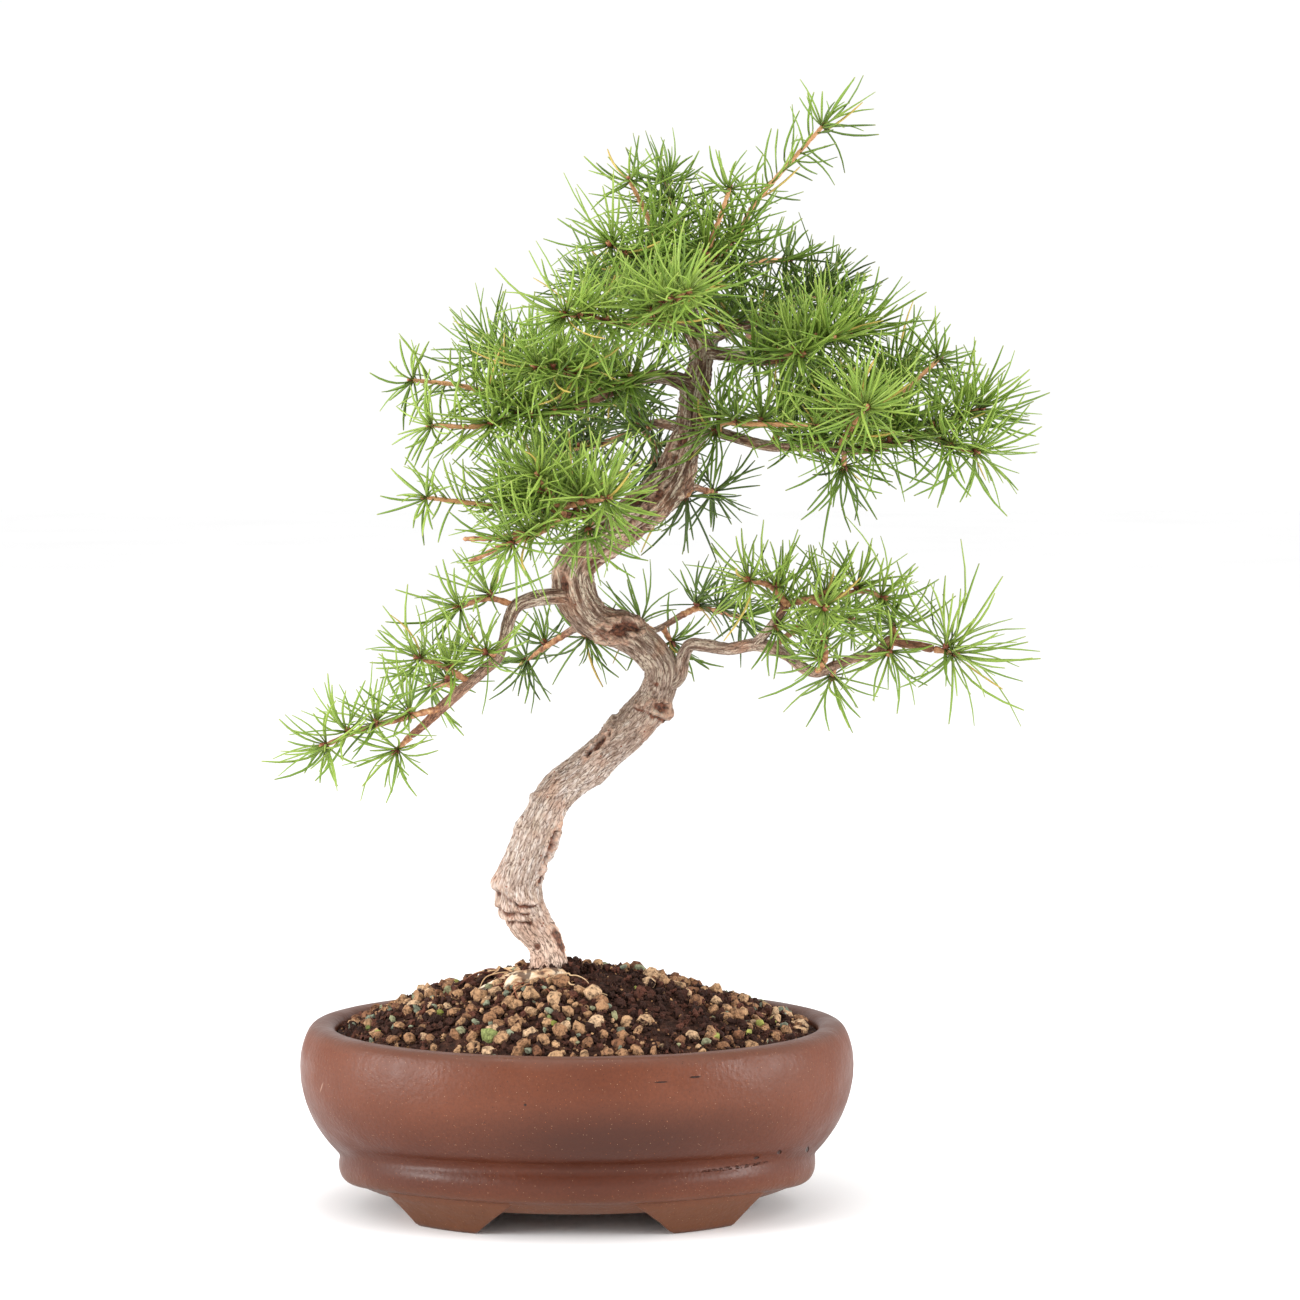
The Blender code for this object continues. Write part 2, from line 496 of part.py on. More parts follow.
def raise_band(mesh):
    """Lift the pot's low band and push it out, most at the middle of the long sides and not at the ends."""
    for vertex in mesh.vertices:
        x, y, z = vertex.co
        radius = math.hypot(x, y / POT_DEPTH_SHARE)
        inside = radius < (BAND_FROM_RADIUS if z < POT_FLOOR - GAP else OUTSIDE_RADIUS)
        if inside or z > BAND_TOP + BAND_FADE:
            continue
        side = (y / POT_DEPTH_SHARE / radius) ** 2
        fade = min(1.0, (BAND_TOP + BAND_FADE - z) / BAND_FADE)
        lift = BAND_LIFT * side * fade * fade
        proud = BAND_PROUD * side if z < BAND_SHELF else 0.0
        vertex.co = (x, y * (1.0 + proud / (radius * POT_DEPTH_SHARE)), z + lift)


def make_feet(collection):
    """Four bracket feet: an elliptic ring cut by four blocks with slanted ends."""
    ring = turned("foot_ring", FOOT_RING, POT_STEPS, collection)
    blocks = [foot_block(across, deep, collection) for across in (-1, 1) for deep in (-1, 1)]
    first = blocks.pop()
    boolean(first, blocks, "UNION")
    boolean(ring, [first], "INTERSECT")
    return ring


def foot_block(across, deep, collection):
    """A block round one foot, whose two ends slope inwards to the table."""
    block = box("foot_block", (0, 0, 0), (1, 1, 1), collection)
    for vertex in block.data.vertices:
        end = FOOT_OUTER_END if vertex.co.x > 0.5 else FOOT_INNER_END
        z = FOOT_BLOCK_TOP if vertex.co.z > 0.5 else FOOT_BLOCK_BELOW
        slope = (FOOT_BLOCK_TOP - z) / FOOT_BLOCK_TOP
        x = end[0] + (end[1] - end[0]) * slope
        near = FOOT_NEAR_END[0] + (FOOT_NEAR_END[1] - FOOT_NEAR_END[0]) * slope
        y = FOOT_BLOCK_FAR if vertex.co.y > 0.5 else near
        vertex.co = (across * x, deep * y, z)
    turn_faces_out(block.data)
    return block


def make_pot(collection):
    """The pot in one piece of clay: a turned oval bowl, four feet and two drain holes."""
    profile = [(0.0, POT_FLOOR), *INNER_PROFILE, *LIP_PROFILE, *OUTER_PROFILE, *BAND_PROFILE, FLAT_UNDERSIDE]
    profile.append((0.0, POT_UNDERSIDE))
    pot = turned("pot", profile, POT_STEPS, collection)
    raise_band(pot.data)
    boolean(pot, [make_feet(collection)], "UNION")
    boolean(pot, [drain_cutter(across, collection) for across in (-1, 1)], "DIFFERENCE")
    shade_smooth(pot)
    return pot


def drain_cutter(across, collection):
    middle = (POT_UNDERSIDE + POT_FLOOR) / 2
    length = 2.5 * (POT_FLOOR - POT_UNDERSIDE)
    place = (across * DRAIN_X, 0.0, middle)
    cutter = cylinder("drain_hole", place, DRAIN_RADIUS, length, DRAIN_SIDES, collection)
    as_cutter(cutter)
    return cutter


def make_drain_mesh(name, across, collection):
    """A square of plastic mesh over a drain hole: two layers of square bars, fused where they cross."""
    half = MESH_SIDE / 2
    centre = across * DRAIN_X
    low = POT_FLOOR + GAP
    step = (MESH_SIDE - MESH_BAR) / (MESH_BARS - 1)
    bars = []
    for i in range(MESH_BARS):
        near = -half + i * step
        far = near + MESH_BAR
        bars.append(box("bar", (centre - half, near, low), (centre + half, far, low + MESH_BAR), collection))
        crossing_low = (centre + near, -half, low + MESH_CROSSING)
        crossing_high = (centre + far, half, low + MESH_CROSSING + MESH_BAR)
        bars.append(box("bar", crossing_low, crossing_high, collection))
    plate = bars.pop()
    boolean(plate, bars, "UNION")
    plate.name = name
    return plate


def soil_height(share):
    """Height of the mound at a share of the way from its crest, 0, to the wall, 1."""
    return SOIL_EDGE + (SOIL_CREST - SOIL_EDGE) * (1.0 - share**SOIL_FALL)


def make_soil(collection):
    """The soil: it fills the bowl, and its mounded top is raised by a formula with a seeded roughness."""
    wall = [(radius - SOIL_WALL_GAP, z) for radius, z in reversed(INNER_PROFILE)]
    wall[0] = (wall[0][0], SOIL_WALL_TOP)
    wall[-1] = (wall[-1][0], POT_FLOOR + GAP)
    mouth = wall[0][0]
    crest = [(mouth * i / SOIL_RINGS, soil_height(i / SOIL_RINGS)) for i in range(SOIL_RINGS)]
    soil = turned("soil", [*crest, *wall, (0.0, POT_FLOOR + GAP)], POT_STEPS, collection)
    roughen(soil.data, mouth)
    return soil


def roughen(mesh, mouth):
    """Shift the crest to the foot of the trunk, and move each point of the top by a seeded amount."""
    rng = np.random.default_rng(SOIL_SEED)
    for vertex in mesh.vertices:
        x, y, z = vertex.co
        share = math.hypot(x, y / POT_DEPTH_SHARE) / mouth
        if z < (SOIL_EDGE + SOIL_WALL_TOP) / 2:
            continue
        loose = min(1.0, SOIL_RELIEF_EDGE * (1.0 - share))
        relief = SOIL_RELIEF * rng.uniform(-1.0, 1.0) * loose
        shift = 1.0 - share
        vertex.co = (x + SOIL_CREST_AT[0] * shift, y + SOIL_CREST_AT[1] * shift, z + relief)


def widened(route, room):
    """The route with every radius larger by the room, and both its ends pushed out by as much."""
    places = [Vector(point[:3]) for point in route]
    places[0] += (places[0] - places[1]).normalized() * room
    places[-1] += (places[-1] - places[-2]).normalized() * room
    return [(*place, point[3] + room) for place, point in zip(places, route)]


def hollow_soil(soil, collection):
    """Cut the holes that the foot of the trunk and the roots stand in, and the beds of the drain meshes."""
    foot = [point for point in TRUNK if point[2] < TRUNK_HOLE_TOP]
    cutters = [tube("trunk_hole", widened(foot, SOIL_HOLE_GAP), TRUNK_SIDES, collection)]
    cutters += [tube("root_hole", widened(route, SOIL_HOLE_GAP), BRANCH_SIDES, collection) for route in ROOTS]
    half = MESH_SIDE / 2 + GAP
    top = POT_FLOOR + 2 * GAP + MESH_CROSSING + MESH_BAR
    for across in (-1, 1):
        centre = across * DRAIN_X
        low_corner = (centre - half, -half, POT_FLOOR - GAP)
        cutters.append(box("mesh_bed", low_corner, (centre + half, half, top), collection))
    for cutter in cutters:
        as_cutter(cutter)
    boolean(soil, cutters, "DIFFERENCE")
    keep_largest(soil.data)


def keep_largest(mesh):
    """Drop the loose scraps that a cut leaves, and keep the largest body."""
    shape = bmesh.new()
    shape.from_mesh(mesh)
    unseen = set(shape.verts)
    bodies = []
    while unseen:
        body = set()
        edge = [unseen.pop()]
        while edge:
            vertex = edge.pop()
            body.add(vertex)
            linked = {line.other_vert(vertex) for line in vertex.link_edges} & unseen
            unseen -= linked
            edge += linked
        bodies.append(body)
    largest = max(bodies, key=len)
    scraps = [vertex for body in bodies if body is not largest for vertex in body]
    bmesh.ops.delete(shape, geom=scraps, context="VERTS")
    shape.to_mesh(mesh)
    shape.free()


class Wood:
    """The round lengths that needles keep clear of: every tube and needle, with its owner."""

    def __init__(self):
        self.starts = []
        self.ends = []
        self.start_radii = []
        self.end_radii = []
        self.owners = []

    def add(self, start, end, start_radius, end_radius, owner):
        self.starts.append(tuple(start))
        self.ends.append(tuple(end))
        self.start_radii.append(start_radius)
        self.end_radii.append(end_radius)
        self.owners.append(owner)

    def add_route(self, route, owner):
        for near, far in zip(route, route[1:]):
            self.add(near[:3], far[:3], near[3], far[3], owner)

    def freeze(self, owner):
        """The lengths of every other owner, as arrays."""
        others = [i for i, name in enumerate(self.owners) if name != owner]
        return (
            np.array(self.starts)[others], np.array(self.ends)[others],
            np.array(self.start_radii)[others], np.array(self.end_radii)[others],
        )

    def radius_near(self, place):
        """The radius of the tube whose axis passes nearest the place."""
        starts, ends, near, far = self.freeze(None)
        along = ends - starts
        reach = ((np.array(place) - starts) * along).sum(1) / (along * along).sum(1)
        reach = np.clip(reach, 0.0, 1.0)
        apart = np.linalg.norm(starts + along * reach[:, None] - np.array(place), axis=1)
        nearest = int(apart.argmin())
        return float(near[nearest] + (far[nearest] - near[nearest]) * reach[nearest])


def room_round(start, end, radius, others):
    """The least room between a needle that tapers to a point and the other lengths.

    For each pair, the closest points of the two lines are found and held within both ends, and the two
    radii there are taken off the distance between them.
    """
    starts, ends, near, far = others
    needle = end - start
    lengths = ends - starts
    between = start - starts
    a = needle @ needle
    b = lengths @ needle
    c = between @ needle
    e = (lengths * lengths).sum(1)
    f = (lengths * between).sum(1)
    spread = np.maximum(a * e - b * b, 1e-18)
    s = np.clip((b * f - c * e) / spread, 0.0, 1.0)
    t = np.clip((b * s + f) / e, 0.0, 1.0)
    s = np.clip((b * t - c) / a, 0.0, 1.0)
    apart = np.linalg.norm(between + s[:, None] * needle - t[:, None] * lengths, axis=1)
    return float((apart - radius * (1.0 - s) - (near + (far - near) * t)).min())


def stub_of(wood, route):
    """The stub that carries a spray: (its two ends, the direction it points in)."""
    start = Vector(route[0])
    direction = (Vector(route[1]) - start).normalized()
    reach = wood.radius_near(start) + SEAT_PAST_BARK
    return start, start + direction * reach, direction


def twig_route(kind, start, direction, points):
    """The twig's points with their radii, from its root to its tip."""
    if kind == "spur":
        places = [start, start + direction * SPUR_LENGTH]
    else:
        places = [start, *(Vector(point) for point in points)]
    radii = np.linspace(TWIG_RADIUS, TWIG_TIP_RADIUS, len(places))
    return [(*place, float(radius)) for place, radius in zip(places, radii)]


def along_route(route, share):
    """(place, direction) at a share of the route's length."""
    places = [Vector(point[:3]) for point in route]
    lengths = [(far - near).length for near, far in zip(places, places[1:])]
    left = share * sum(lengths)
    for near, far, length in zip(places, places[1:], lengths):
        if left <= length:
            break
        left -= length
    direction = (far - near).normalized()
    return near + direction * min(left, length), direction


def leaning(axis, azimuth, lean):
    """The direction that leans away from the axis by one angle, at another angle round it, both in degrees."""
    across = axis.to_track_quat("Z", "Y") @ Vector((1.0, 0.0, 0.0))
    across = Quaternion(axis, math.radians(azimuth)) @ across
    return Quaternion(axis.cross(across).normalized(), math.radians(lean)) @ axis


def grow_needle(rng, root, axis, azimuth, lean, others, own):
    """A needle's root and tip: it is turned and then shortened until it clears every other piece.

    For most of the tries it also keeps clear of the outer lengths of its own spray's needles.
    """
    length = rng.uniform(*NEEDLE_LENGTH)
    if own:
        starts, ends = np.array(own).swapaxes(0, 1)
        own_parts = (starts, ends, np.full(len(own), NEEDLE_RADIUS), np.zeros(len(own)))
    for attempt in range(NEEDLE_TRIES):
        search = attempt / NEEDLE_TRIES
        turn = rng.normal(0.0, TURN_SPREAD[0] + TURN_SPREAD[1] * search)
        tilt = rng.normal(0.0, TILT_SPREAD[0] + TILT_SPREAD[1] * search)
        way = leaning(axis, azimuth + turn, lean + tilt)
        reach = length * (1.0 - (1.0 - SHORTEST_SHARE) * search * search)
        tip = root + way * reach
        if room_round(np.array(root), np.array(tip), NEEDLE_RADIUS, others) < NEEDLE_CLEARANCE:
            continue
        if own and search < OWN_TRIES_SHARE:
            outer = np.array(root + way * CLEAR_BEYOND)
            if room_round(outer, np.array(tip), NEEDLE_RADIUS, own_parts) < OWN_CLEARANCE:
                continue
        return root, tip
    return None


def rosette(rng, route, share, rows):
    """Plans of one rosette's needles: (root, axis, azimuth, lean). Each row stands in the gaps of the last."""
    place, axis = along_route(route, share)
    turn = rng.uniform(0.0, 360.0)
    plans = []
    for back, count, lean in rows:
        for i in range(count):
            plans.append((place - axis * back, axis, turn + 360.0 * i / count, lean))
        turn += 180.0 / count
    return plans


def spiral(rng, route, first):
    """Plans of the single needles that wind along a shoot, from its last side rosette to its tip."""
    places = [Vector(point[:3]) for point in route]
    length = sum((far - near).length for near, far in zip(places, places[1:]))
    last = 1.0 - TUFT_ROWS[-1][0] / length
    count = int(length * (last - first) / NEEDLE_STEP_ON_SHOOT)
    turn = rng.uniform(0.0, 360.0)
    plans = []
    for i in range(count):
        place, axis = along_route(route, first + (last - first) * (i + 0.5) / count)
        plans.append((place, axis, turn + i * GOLDEN_ANGLE, rng.uniform(*SHOOT_LEAN)))
    return plans


def needle_plans(rng, kind, side_rosettes, route):
    """Where every needle of a twig is to stand."""
    plans = []
    for share in side_rosettes:
        plans += rosette(rng, route, share, SIDE_ROWS)
    if kind == "shoot":
        plans += spiral(rng, route, max(side_rosettes) + FIRST_ON_SHOOT)
    plans += rosette(rng, route, 1.0, TUFT_ROWS if kind == "shoot" else TIP_ROWS)
    return plans


def needle_mesh():
    """The unit needle: a three-sided cone with its root at the origin and its tip one metre up Z."""
    shape = bmesh.new()
    bmesh.ops.create_cone(shape, cap_ends=True, segments=3, radius1=1.0, radius2=0.0, depth=1.0)
    bmesh.ops.remove_doubles(shape, verts=shape.verts, dist=1e-5)
    shape.transform(Matrix.Translation((0.0, 0.0, 0.5)))
    mesh = bpy.data.meshes.new("needle")
    shape.to_mesh(mesh)
    shape.free()
    return mesh


def needle_object(mesh, root, tip, collection):
    """A copy of the unit needle, stretched from the root to the tip."""
    needle = add_object("needle", mesh, collection)
    turn = (tip - root).to_track_quat("Z", "Y").to_matrix().to_4x4()
    size = Matrix.Diagonal((NEEDLE_RADIUS, NEEDLE_RADIUS, (tip - root).length, 1.0))
    needle.matrix_world = Matrix.Translation(root) @ turn @ size
    return needle


def plan_spray(wood, twigs):
    """The stub and the twigs of one spray. They are noted in the wood, so that needles keep clear of them."""
    base, seat, direction = stub_of(wood, twigs[0][2])
    stub = [(*base, STUB_RADIUS), (*seat, STUB_RADIUS)]
    start = seat + direction * GAP
    routes = []
    for kind, side_rosettes, points in twigs:
        if not routes:
            route = twig_route(kind, start, direction, points[1:])
        else:
            fork = start + direction * FORK_AFTER_SEAT
            route = twig_route(kind, fork, direction, points)
        routes.append((kind, side_rosettes, route))
    return stub, routes


def make_tree(stubs, collection):
    """Roots, trunk and woody branches, which grew as one piece, with a stub for each spray."""
    tree = tube("tree", TRUNK, TRUNK_SIDES, collection)
    pieces = [tube("root", route, BRANCH_SIDES, collection) for route in ROOTS]
    pieces += [tube("branch", route, BRANCH_SIDES, collection) for route in BRANCHES.values()]
    pieces += [tube("stub", route, TWIG_SIDES, collection) for route in stubs]
    pieces += [make_knob(knob, collection) for knob in KNOBS]
    boolean(tree, pieces, "UNION")
    shade_smooth(tree)
    return tree


def make_knob(knob, collection):
    """A rounded swelling of the bark."""
    x, y, z, half_width, half_height = knob
    shape = bmesh.new()
    bmesh.ops.create_uvsphere(shape, u_segments=8, v_segments=4, radius=1.0)
    size = Matrix.Diagonal((half_width, half_width, half_height, 1.0))
    shape.transform(Matrix.Translation((x, y, z)) @ size)
    mesh = bpy.data.meshes.new("knob")
    shape.to_mesh(mesh)
    shape.free()
    return add_object("knob", mesh, collection)


def make_spray(rng, wood, name, routes, unit_needle, collection):
    """A spray: its twigs and their needles, fused into one body."""
    others = wood.freeze(name)
    twigs = [tube(name, route, TWIG_SIDES, collection) for _, _, route in routes]
    needles = []
    own = []
    for kind, side_rosettes, route in routes:
        for plan in needle_plans(rng, kind, side_rosettes, route):
            grown = grow_needle(rng, *plan, others, own)
            if grown:
                root, tip = grown
                needles.append(grown)
                own.append((tuple(root + (tip - root).normalized() * CLEAR_BEYOND), tuple(tip)))
    for root, tip in needles:
        wood.add(root, tip, NEEDLE_RADIUS, 0.0, name)
    spray = twigs.pop(0)
    pieces = twigs + [needle_object(unit_needle, root, tip, collection) for root, tip in needles]
    boolean(spray, pieces, "UNION")
    return spray


def make_sprays(collection):
    """All sprays, and the stubs of the tree that carry them."""
    rng = np.random.default_rng(NEEDLE_SEED)
    wood = Wood()
    wood.add_route(TRUNK, "tree")
    for route in [*BRANCHES.values(), *ROOTS]:
        wood.add_route(route, "tree")
    plans = {name: plan_spray(wood, twigs) for name, twigs in SPRAYS.items()}
    for name, (stub, routes) in plans.items():
        wood.add_route(stub, "tree")
        for _, _, route in routes:
            wood.add_route(route, name)
    unit_needle = needle_mesh()
    sprays = [
        make_spray(rng, wood, name, routes, unit_needle, collection) for name, (_, routes) in plans.items()
    ]
    for spray, name in zip(sprays, plans):
        spray.name = "spray_" + name
    return sprays, [stub for stub, _ in plans.values()]


def finish(objects, material):
    """Give the objects their material."""
    for obj in objects:
        obj.data.materials.clear()
        obj.data.materials.append(material)


def stand_on_table(objects, collection):
    """Parent every piece to an empty at the pot's centre."""
    anchor = add_object("larch_bonsai", None, collection)
    anchor.location = POT_CENTRE
    for obj in objects:
        obj.parent = anchor


def main():
    clear_scene()
    collection = make_collection("larch_bonsai_parts")
    pot = make_pot(collection)
    meshes = [
        make_drain_mesh("drain_mesh_left", -1, collection),
        make_drain_mesh("drain_mesh_right", 1, collection),
    ]
    soil = make_soil(collection)
    hollow_soil(soil, collection)
    sprays, stubs = make_sprays(collection)
    tree = make_tree(stubs, collection)
    finish([pot], make_material("clay"))
    finish(meshes, make_material("plastic_mesh"))
    finish([soil], make_material("soil"))
    finish([tree], make_material("bark"))
    finish(sprays, make_material("needles"))
    stand_on_table([pot, *meshes, soil, tree, *sprays], collection)


main()
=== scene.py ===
# %% [markdown]
# # A larch bonsai in an oval pot
#
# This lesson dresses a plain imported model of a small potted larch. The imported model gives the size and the
# place of every piece. Here each piece is rebuilt as the real one looks: fired clay, loose soil, fissured
# bark, orange twigs and soft green needles. Lengths are in metres, but the tables of profiles, routes and
# spots are in millimetres, as a ruler reads them. +Z is up, and the viewer looks along +Y.

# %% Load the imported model
import math

import bmesh
import bpy
import numpy as np
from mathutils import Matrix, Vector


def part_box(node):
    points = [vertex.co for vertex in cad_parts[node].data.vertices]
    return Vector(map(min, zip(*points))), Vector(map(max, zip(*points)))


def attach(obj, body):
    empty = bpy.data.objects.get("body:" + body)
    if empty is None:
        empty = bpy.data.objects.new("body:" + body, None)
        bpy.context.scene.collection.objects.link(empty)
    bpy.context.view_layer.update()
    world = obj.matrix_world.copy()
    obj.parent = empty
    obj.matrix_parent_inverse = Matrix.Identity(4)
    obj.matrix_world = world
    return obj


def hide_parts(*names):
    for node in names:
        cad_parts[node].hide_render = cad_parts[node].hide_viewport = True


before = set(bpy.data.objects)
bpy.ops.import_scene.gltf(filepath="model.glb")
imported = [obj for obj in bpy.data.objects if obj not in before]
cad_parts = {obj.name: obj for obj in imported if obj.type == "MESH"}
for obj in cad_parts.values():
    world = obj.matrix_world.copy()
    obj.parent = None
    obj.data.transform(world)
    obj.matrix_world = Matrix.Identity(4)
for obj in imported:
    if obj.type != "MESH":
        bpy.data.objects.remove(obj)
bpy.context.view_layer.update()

# %% [markdown]
# The tree leans out to one side, so the pot is not in the middle of the whole. Every route below is
# measured from the pot's own centre, and this cell works out where that centre is.

# %% Find the pot's centre
POT_LOW, POT_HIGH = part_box("pot")
POT_CENTRE = np.array([(POT_LOW.x + POT_HIGH.x) / 2, (POT_LOW.y + POT_HIGH.y) / 2, 0.0])
print("pot centre:", POT_CENTRE.round(4))

# %% [markdown]
# A camera with a long lens stands 1.6 m in front, a little above the pot, and looks slightly down.
# A long lens keeps the oval of the pot flat, as in the photograph.

# %% Camera
CAMERA_PLACE = (0.0002, -1.5979, 0.350)
CAMERA_PITCH = math.radians(90.0 - 4.6)
CAMERA_SENSOR = 36.0
CAMERA_LENS = 112.8
camera = bpy.data.objects.new("camera", bpy.data.cameras.new("camera"))
bpy.context.scene.collection.objects.link(camera)
camera.location = CAMERA_PLACE
camera.rotation_euler = (CAMERA_PITCH, 0.0, 0.0)
camera.data.sensor_width = CAMERA_SENSOR
camera.data.lens = CAMERA_LENS
bpy.context.scene.camera = camera
print("camera lens:", camera.data.lens)

# %% [markdown]
# A white studio: a pale floor, a bright even world, and three large soft lamps. The two at the sides model
# the round of the pot and the trunk, and the weak one overhead lifts the tops of the needles.

# %% Light the scene
LAMPS = {
    "lamp_over": ((-0.10, -0.20, 1.45), (0.0, 0.0, 0.20), 0.90, 8.0),
    "lamp_left": ((-1.60, -0.70, 0.55), (0.0, 0.0, 0.18), 0.80, 31.0),
    "lamp_right": ((1.65, -0.60, 0.55), (0.0, 0.0, 0.18), 0.80, 26.0),
}
WORLD_STRENGTH = 1.02


def add_softbox(name, place, aim, width, watts):
    """A square area lamp of the given width, turned to face the aim."""
    lamp = bpy.data.lights.new(name, "AREA")
    lamp.size = width
    lamp.energy = watts
    holder = bpy.data.objects.new(name, lamp)
    holder.location = place
    away = np.array(aim) - np.array(place)
    level = math.hypot(away[0], away[1])
    holder.rotation_euler = (math.atan2(level, -away[2]), 0.0, math.atan2(away[1], away[0]) - math.pi / 2)
    bpy.context.scene.collection.objects.link(holder)


for name, (place, aim, width, watts) in LAMPS.items():
    add_softbox(name, place, aim, width, watts)
world = bpy.data.worlds.new("studio")
world.use_nodes = True
background = world.node_tree.nodes["Background"]
background.inputs["Color"].default_value = (1.0, 1.0, 1.0, 1.0)
background.inputs["Strength"].default_value = WORLD_STRENGTH
bpy.context.scene.world = world
bpy.context.scene.view_settings.view_transform = "Standard"

# %% [markdown]
# ## Tools for surfaces
#
# Every new surface is a grid of points worked out with numpy: a row of rings, each ring a row of points.
# Neighbouring points make the faces. Writing whole arrays is much faster than adding points one by one.

# %% Turn arrays into a piece
def make_piece(name, points, quads=(), triangles=()):
    """A mesh object whose faces are the rows of quads and of triangles."""
    quads = np.asarray(quads, np.int32).reshape(-1, 4)
    triangles = np.asarray(triangles, np.int32).reshape(-1, 3)
    corners = np.concatenate([quads.ravel(), triangles.ravel()])
    sizes = np.concatenate([np.full(len(quads), 4), np.full(len(triangles), 3)])
    mesh = bpy.data.meshes.new(name)
    mesh.vertices.add(len(points))
    mesh.vertices.foreach_set("co", np.asarray(points, np.float32).ravel())
    mesh.loops.add(len(corners))
    mesh.loops.foreach_set("vertex_index", corners)
    mesh.polygons.add(len(sizes))
    mesh.polygons.foreach_set("loop_start", (np.cumsum(sizes) - sizes).astype(np.int32))
    mesh.update(calc_edges=True)
    mesh.validate()
    mesh.shade_smooth()
    piece = bpy.data.objects.new(name, mesh)
    bpy.context.scene.collection.objects.link(piece)
    return piece


def store(piece, name, values):
    """Keep one number, or one direction, for each point, for a material to read."""
    values = np.asarray(values, np.float32)
    kind = "FLOAT" if values.ndim == 1 else "FLOAT_VECTOR"
    layer = piece.data.attributes.new(name, kind, "POINT")
    layer.data.foreach_set("value" if values.ndim == 1 else "vector", values.ravel())


def triangle_count(piece):
    """How many triangles the piece has once its faces are split."""
    piece.data.calc_loop_triangles()
    return len(piece.data.loop_triangles)


print("arrays can be made into pieces")


# %% Join grids into faces
def angles_round(sides):
    """Evenly spaced angles once round a ring."""
    return np.linspace(0.0, 2 * math.pi, sides, endpoint=False)


def grid_quads(rings, sides, inward=False):
    """Faces between neighbouring rings, closed round the rings. Point k of ring i is number i·sides + k."""
    ring, side = np.meshgrid(np.arange(rings - 1), np.arange(sides), indexing="ij")
    after = (side + 1) % sides
    faces = np.stack([ring * sides + side, ring * sides + after, (ring + 1) * sides + after,
                      (ring + 1) * sides + side], -1).reshape(-1, 4)
    return faces[:, ::-1] if inward else faces


def end_fans(rings, sides, inward=False):
    """Triangles from the first and the last ring to one point each, which follow the grid's points."""
    side = np.arange(sides)
    after = (side + 1) % sides
    first, last = rings * sides, rings * sides + 1
    low = np.stack([after, side, np.full(sides, first)], -1)
    top = (rings - 1) * sides
    high = np.stack([top + side, top + after, np.full(sides, last)], -1)
    fans = np.concatenate([low, high])
    return fans[:, ::-1] if inward else fans


def closed(rings, sides, inward=False):
    """All the faces of a grid that is closed at both ends: its quads and its triangles."""
    return grid_quads(rings, sides, inward), end_fans(rings, sides, inward)


print("faces of a grid of 4 rings of 6, closed:", sum(len(faces) for faces in closed(4, 6)))


# %% Collect many small surfaces
class Pile:
    """Collects the points, faces and stored numbers of many small surfaces, to make one piece of them."""

    def __init__(self):
        self.points, self.quads, self.triangles = [], [], []
        self.stored, self.count = {}, 0

    def add(self, points, quads, triangles, **stored):
        """One more surface. A stored value may be one number for all of its points, or one for each."""
        self.points.append(points)
        self.quads.append(np.asarray(quads).reshape(-1, 4) + self.count)
        self.triangles.append(np.asarray(triangles).reshape(-1, 3) + self.count)
        for name, values in stored.items():
            shape = (len(points),) if np.ndim(values) < 2 else (len(points), 3)
            self.stored.setdefault(name, []).append(np.broadcast_to(values, shape))
        self.count += len(points)

    def piece(self, name):
        """Everything collected so far, as one mesh object."""
        parts = (self.points, self.quads, self.triangles)
        made = make_piece(name, *(np.concatenate(part) for part in parts))
        for key, values in self.stored.items():
            store(made, key, np.concatenate(values))
        return made


print("surface tools are ready")

# %% [markdown]
# Bark, soil and clay are uneven. One smooth noise serves them all: random values on a lattice, blended
# between the lattice points. Adding finer and weaker copies of it gives roughness at every scale.

# %% Noise
LATTICE_SIZE = 32
LATTICE = np.random.default_rng(3).uniform(-1.0, 1.0, (LATTICE_SIZE,) * 3)


def noise(places):
    """Values from -1 to 1. Between lattice points each axis is blended by 3u² - 2u³."""
    cell = np.floor(places).astype(int)
    blend = places - cell
    blend = blend * blend * (3.0 - 2.0 * blend)
    total = 0.0
    for corner in np.ndindex(2, 2, 2):
        weight = np.prod(np.where(np.array(corner) == 1, blend, 1.0 - blend), axis=-1)
        x, y, z = np.moveaxis((cell + np.array(corner)) % LATTICE_SIZE, -1, 0)
        total = total + weight * LATTICE[x, y, z]
    return total


def rough(places, octaves):
    """The noise and finer copies of it, each twice as fine and half as strong as the last."""
    return sum(noise(places * 2.0**k + 7.3 * k) / 2.0**k for k in range(octaves))


print("noise spread:", rough(np.random.default_rng(1).uniform(0, 20, (999, 3)), 3).std().round(3))

# %% [markdown]
# Trunk, branches, twigs and roots are all tubes along a route. The route's points are joined by a smooth
# curve, and each ring of the tube stands square to it.

# %% Tubes along a route
END_DOME = 0.3
LEAST_CLOSING = 0.06


def metres(route):
    """A table's millimetres as metres."""
    return [tuple(round(length / 1000, 6) for length in point) for point in route]


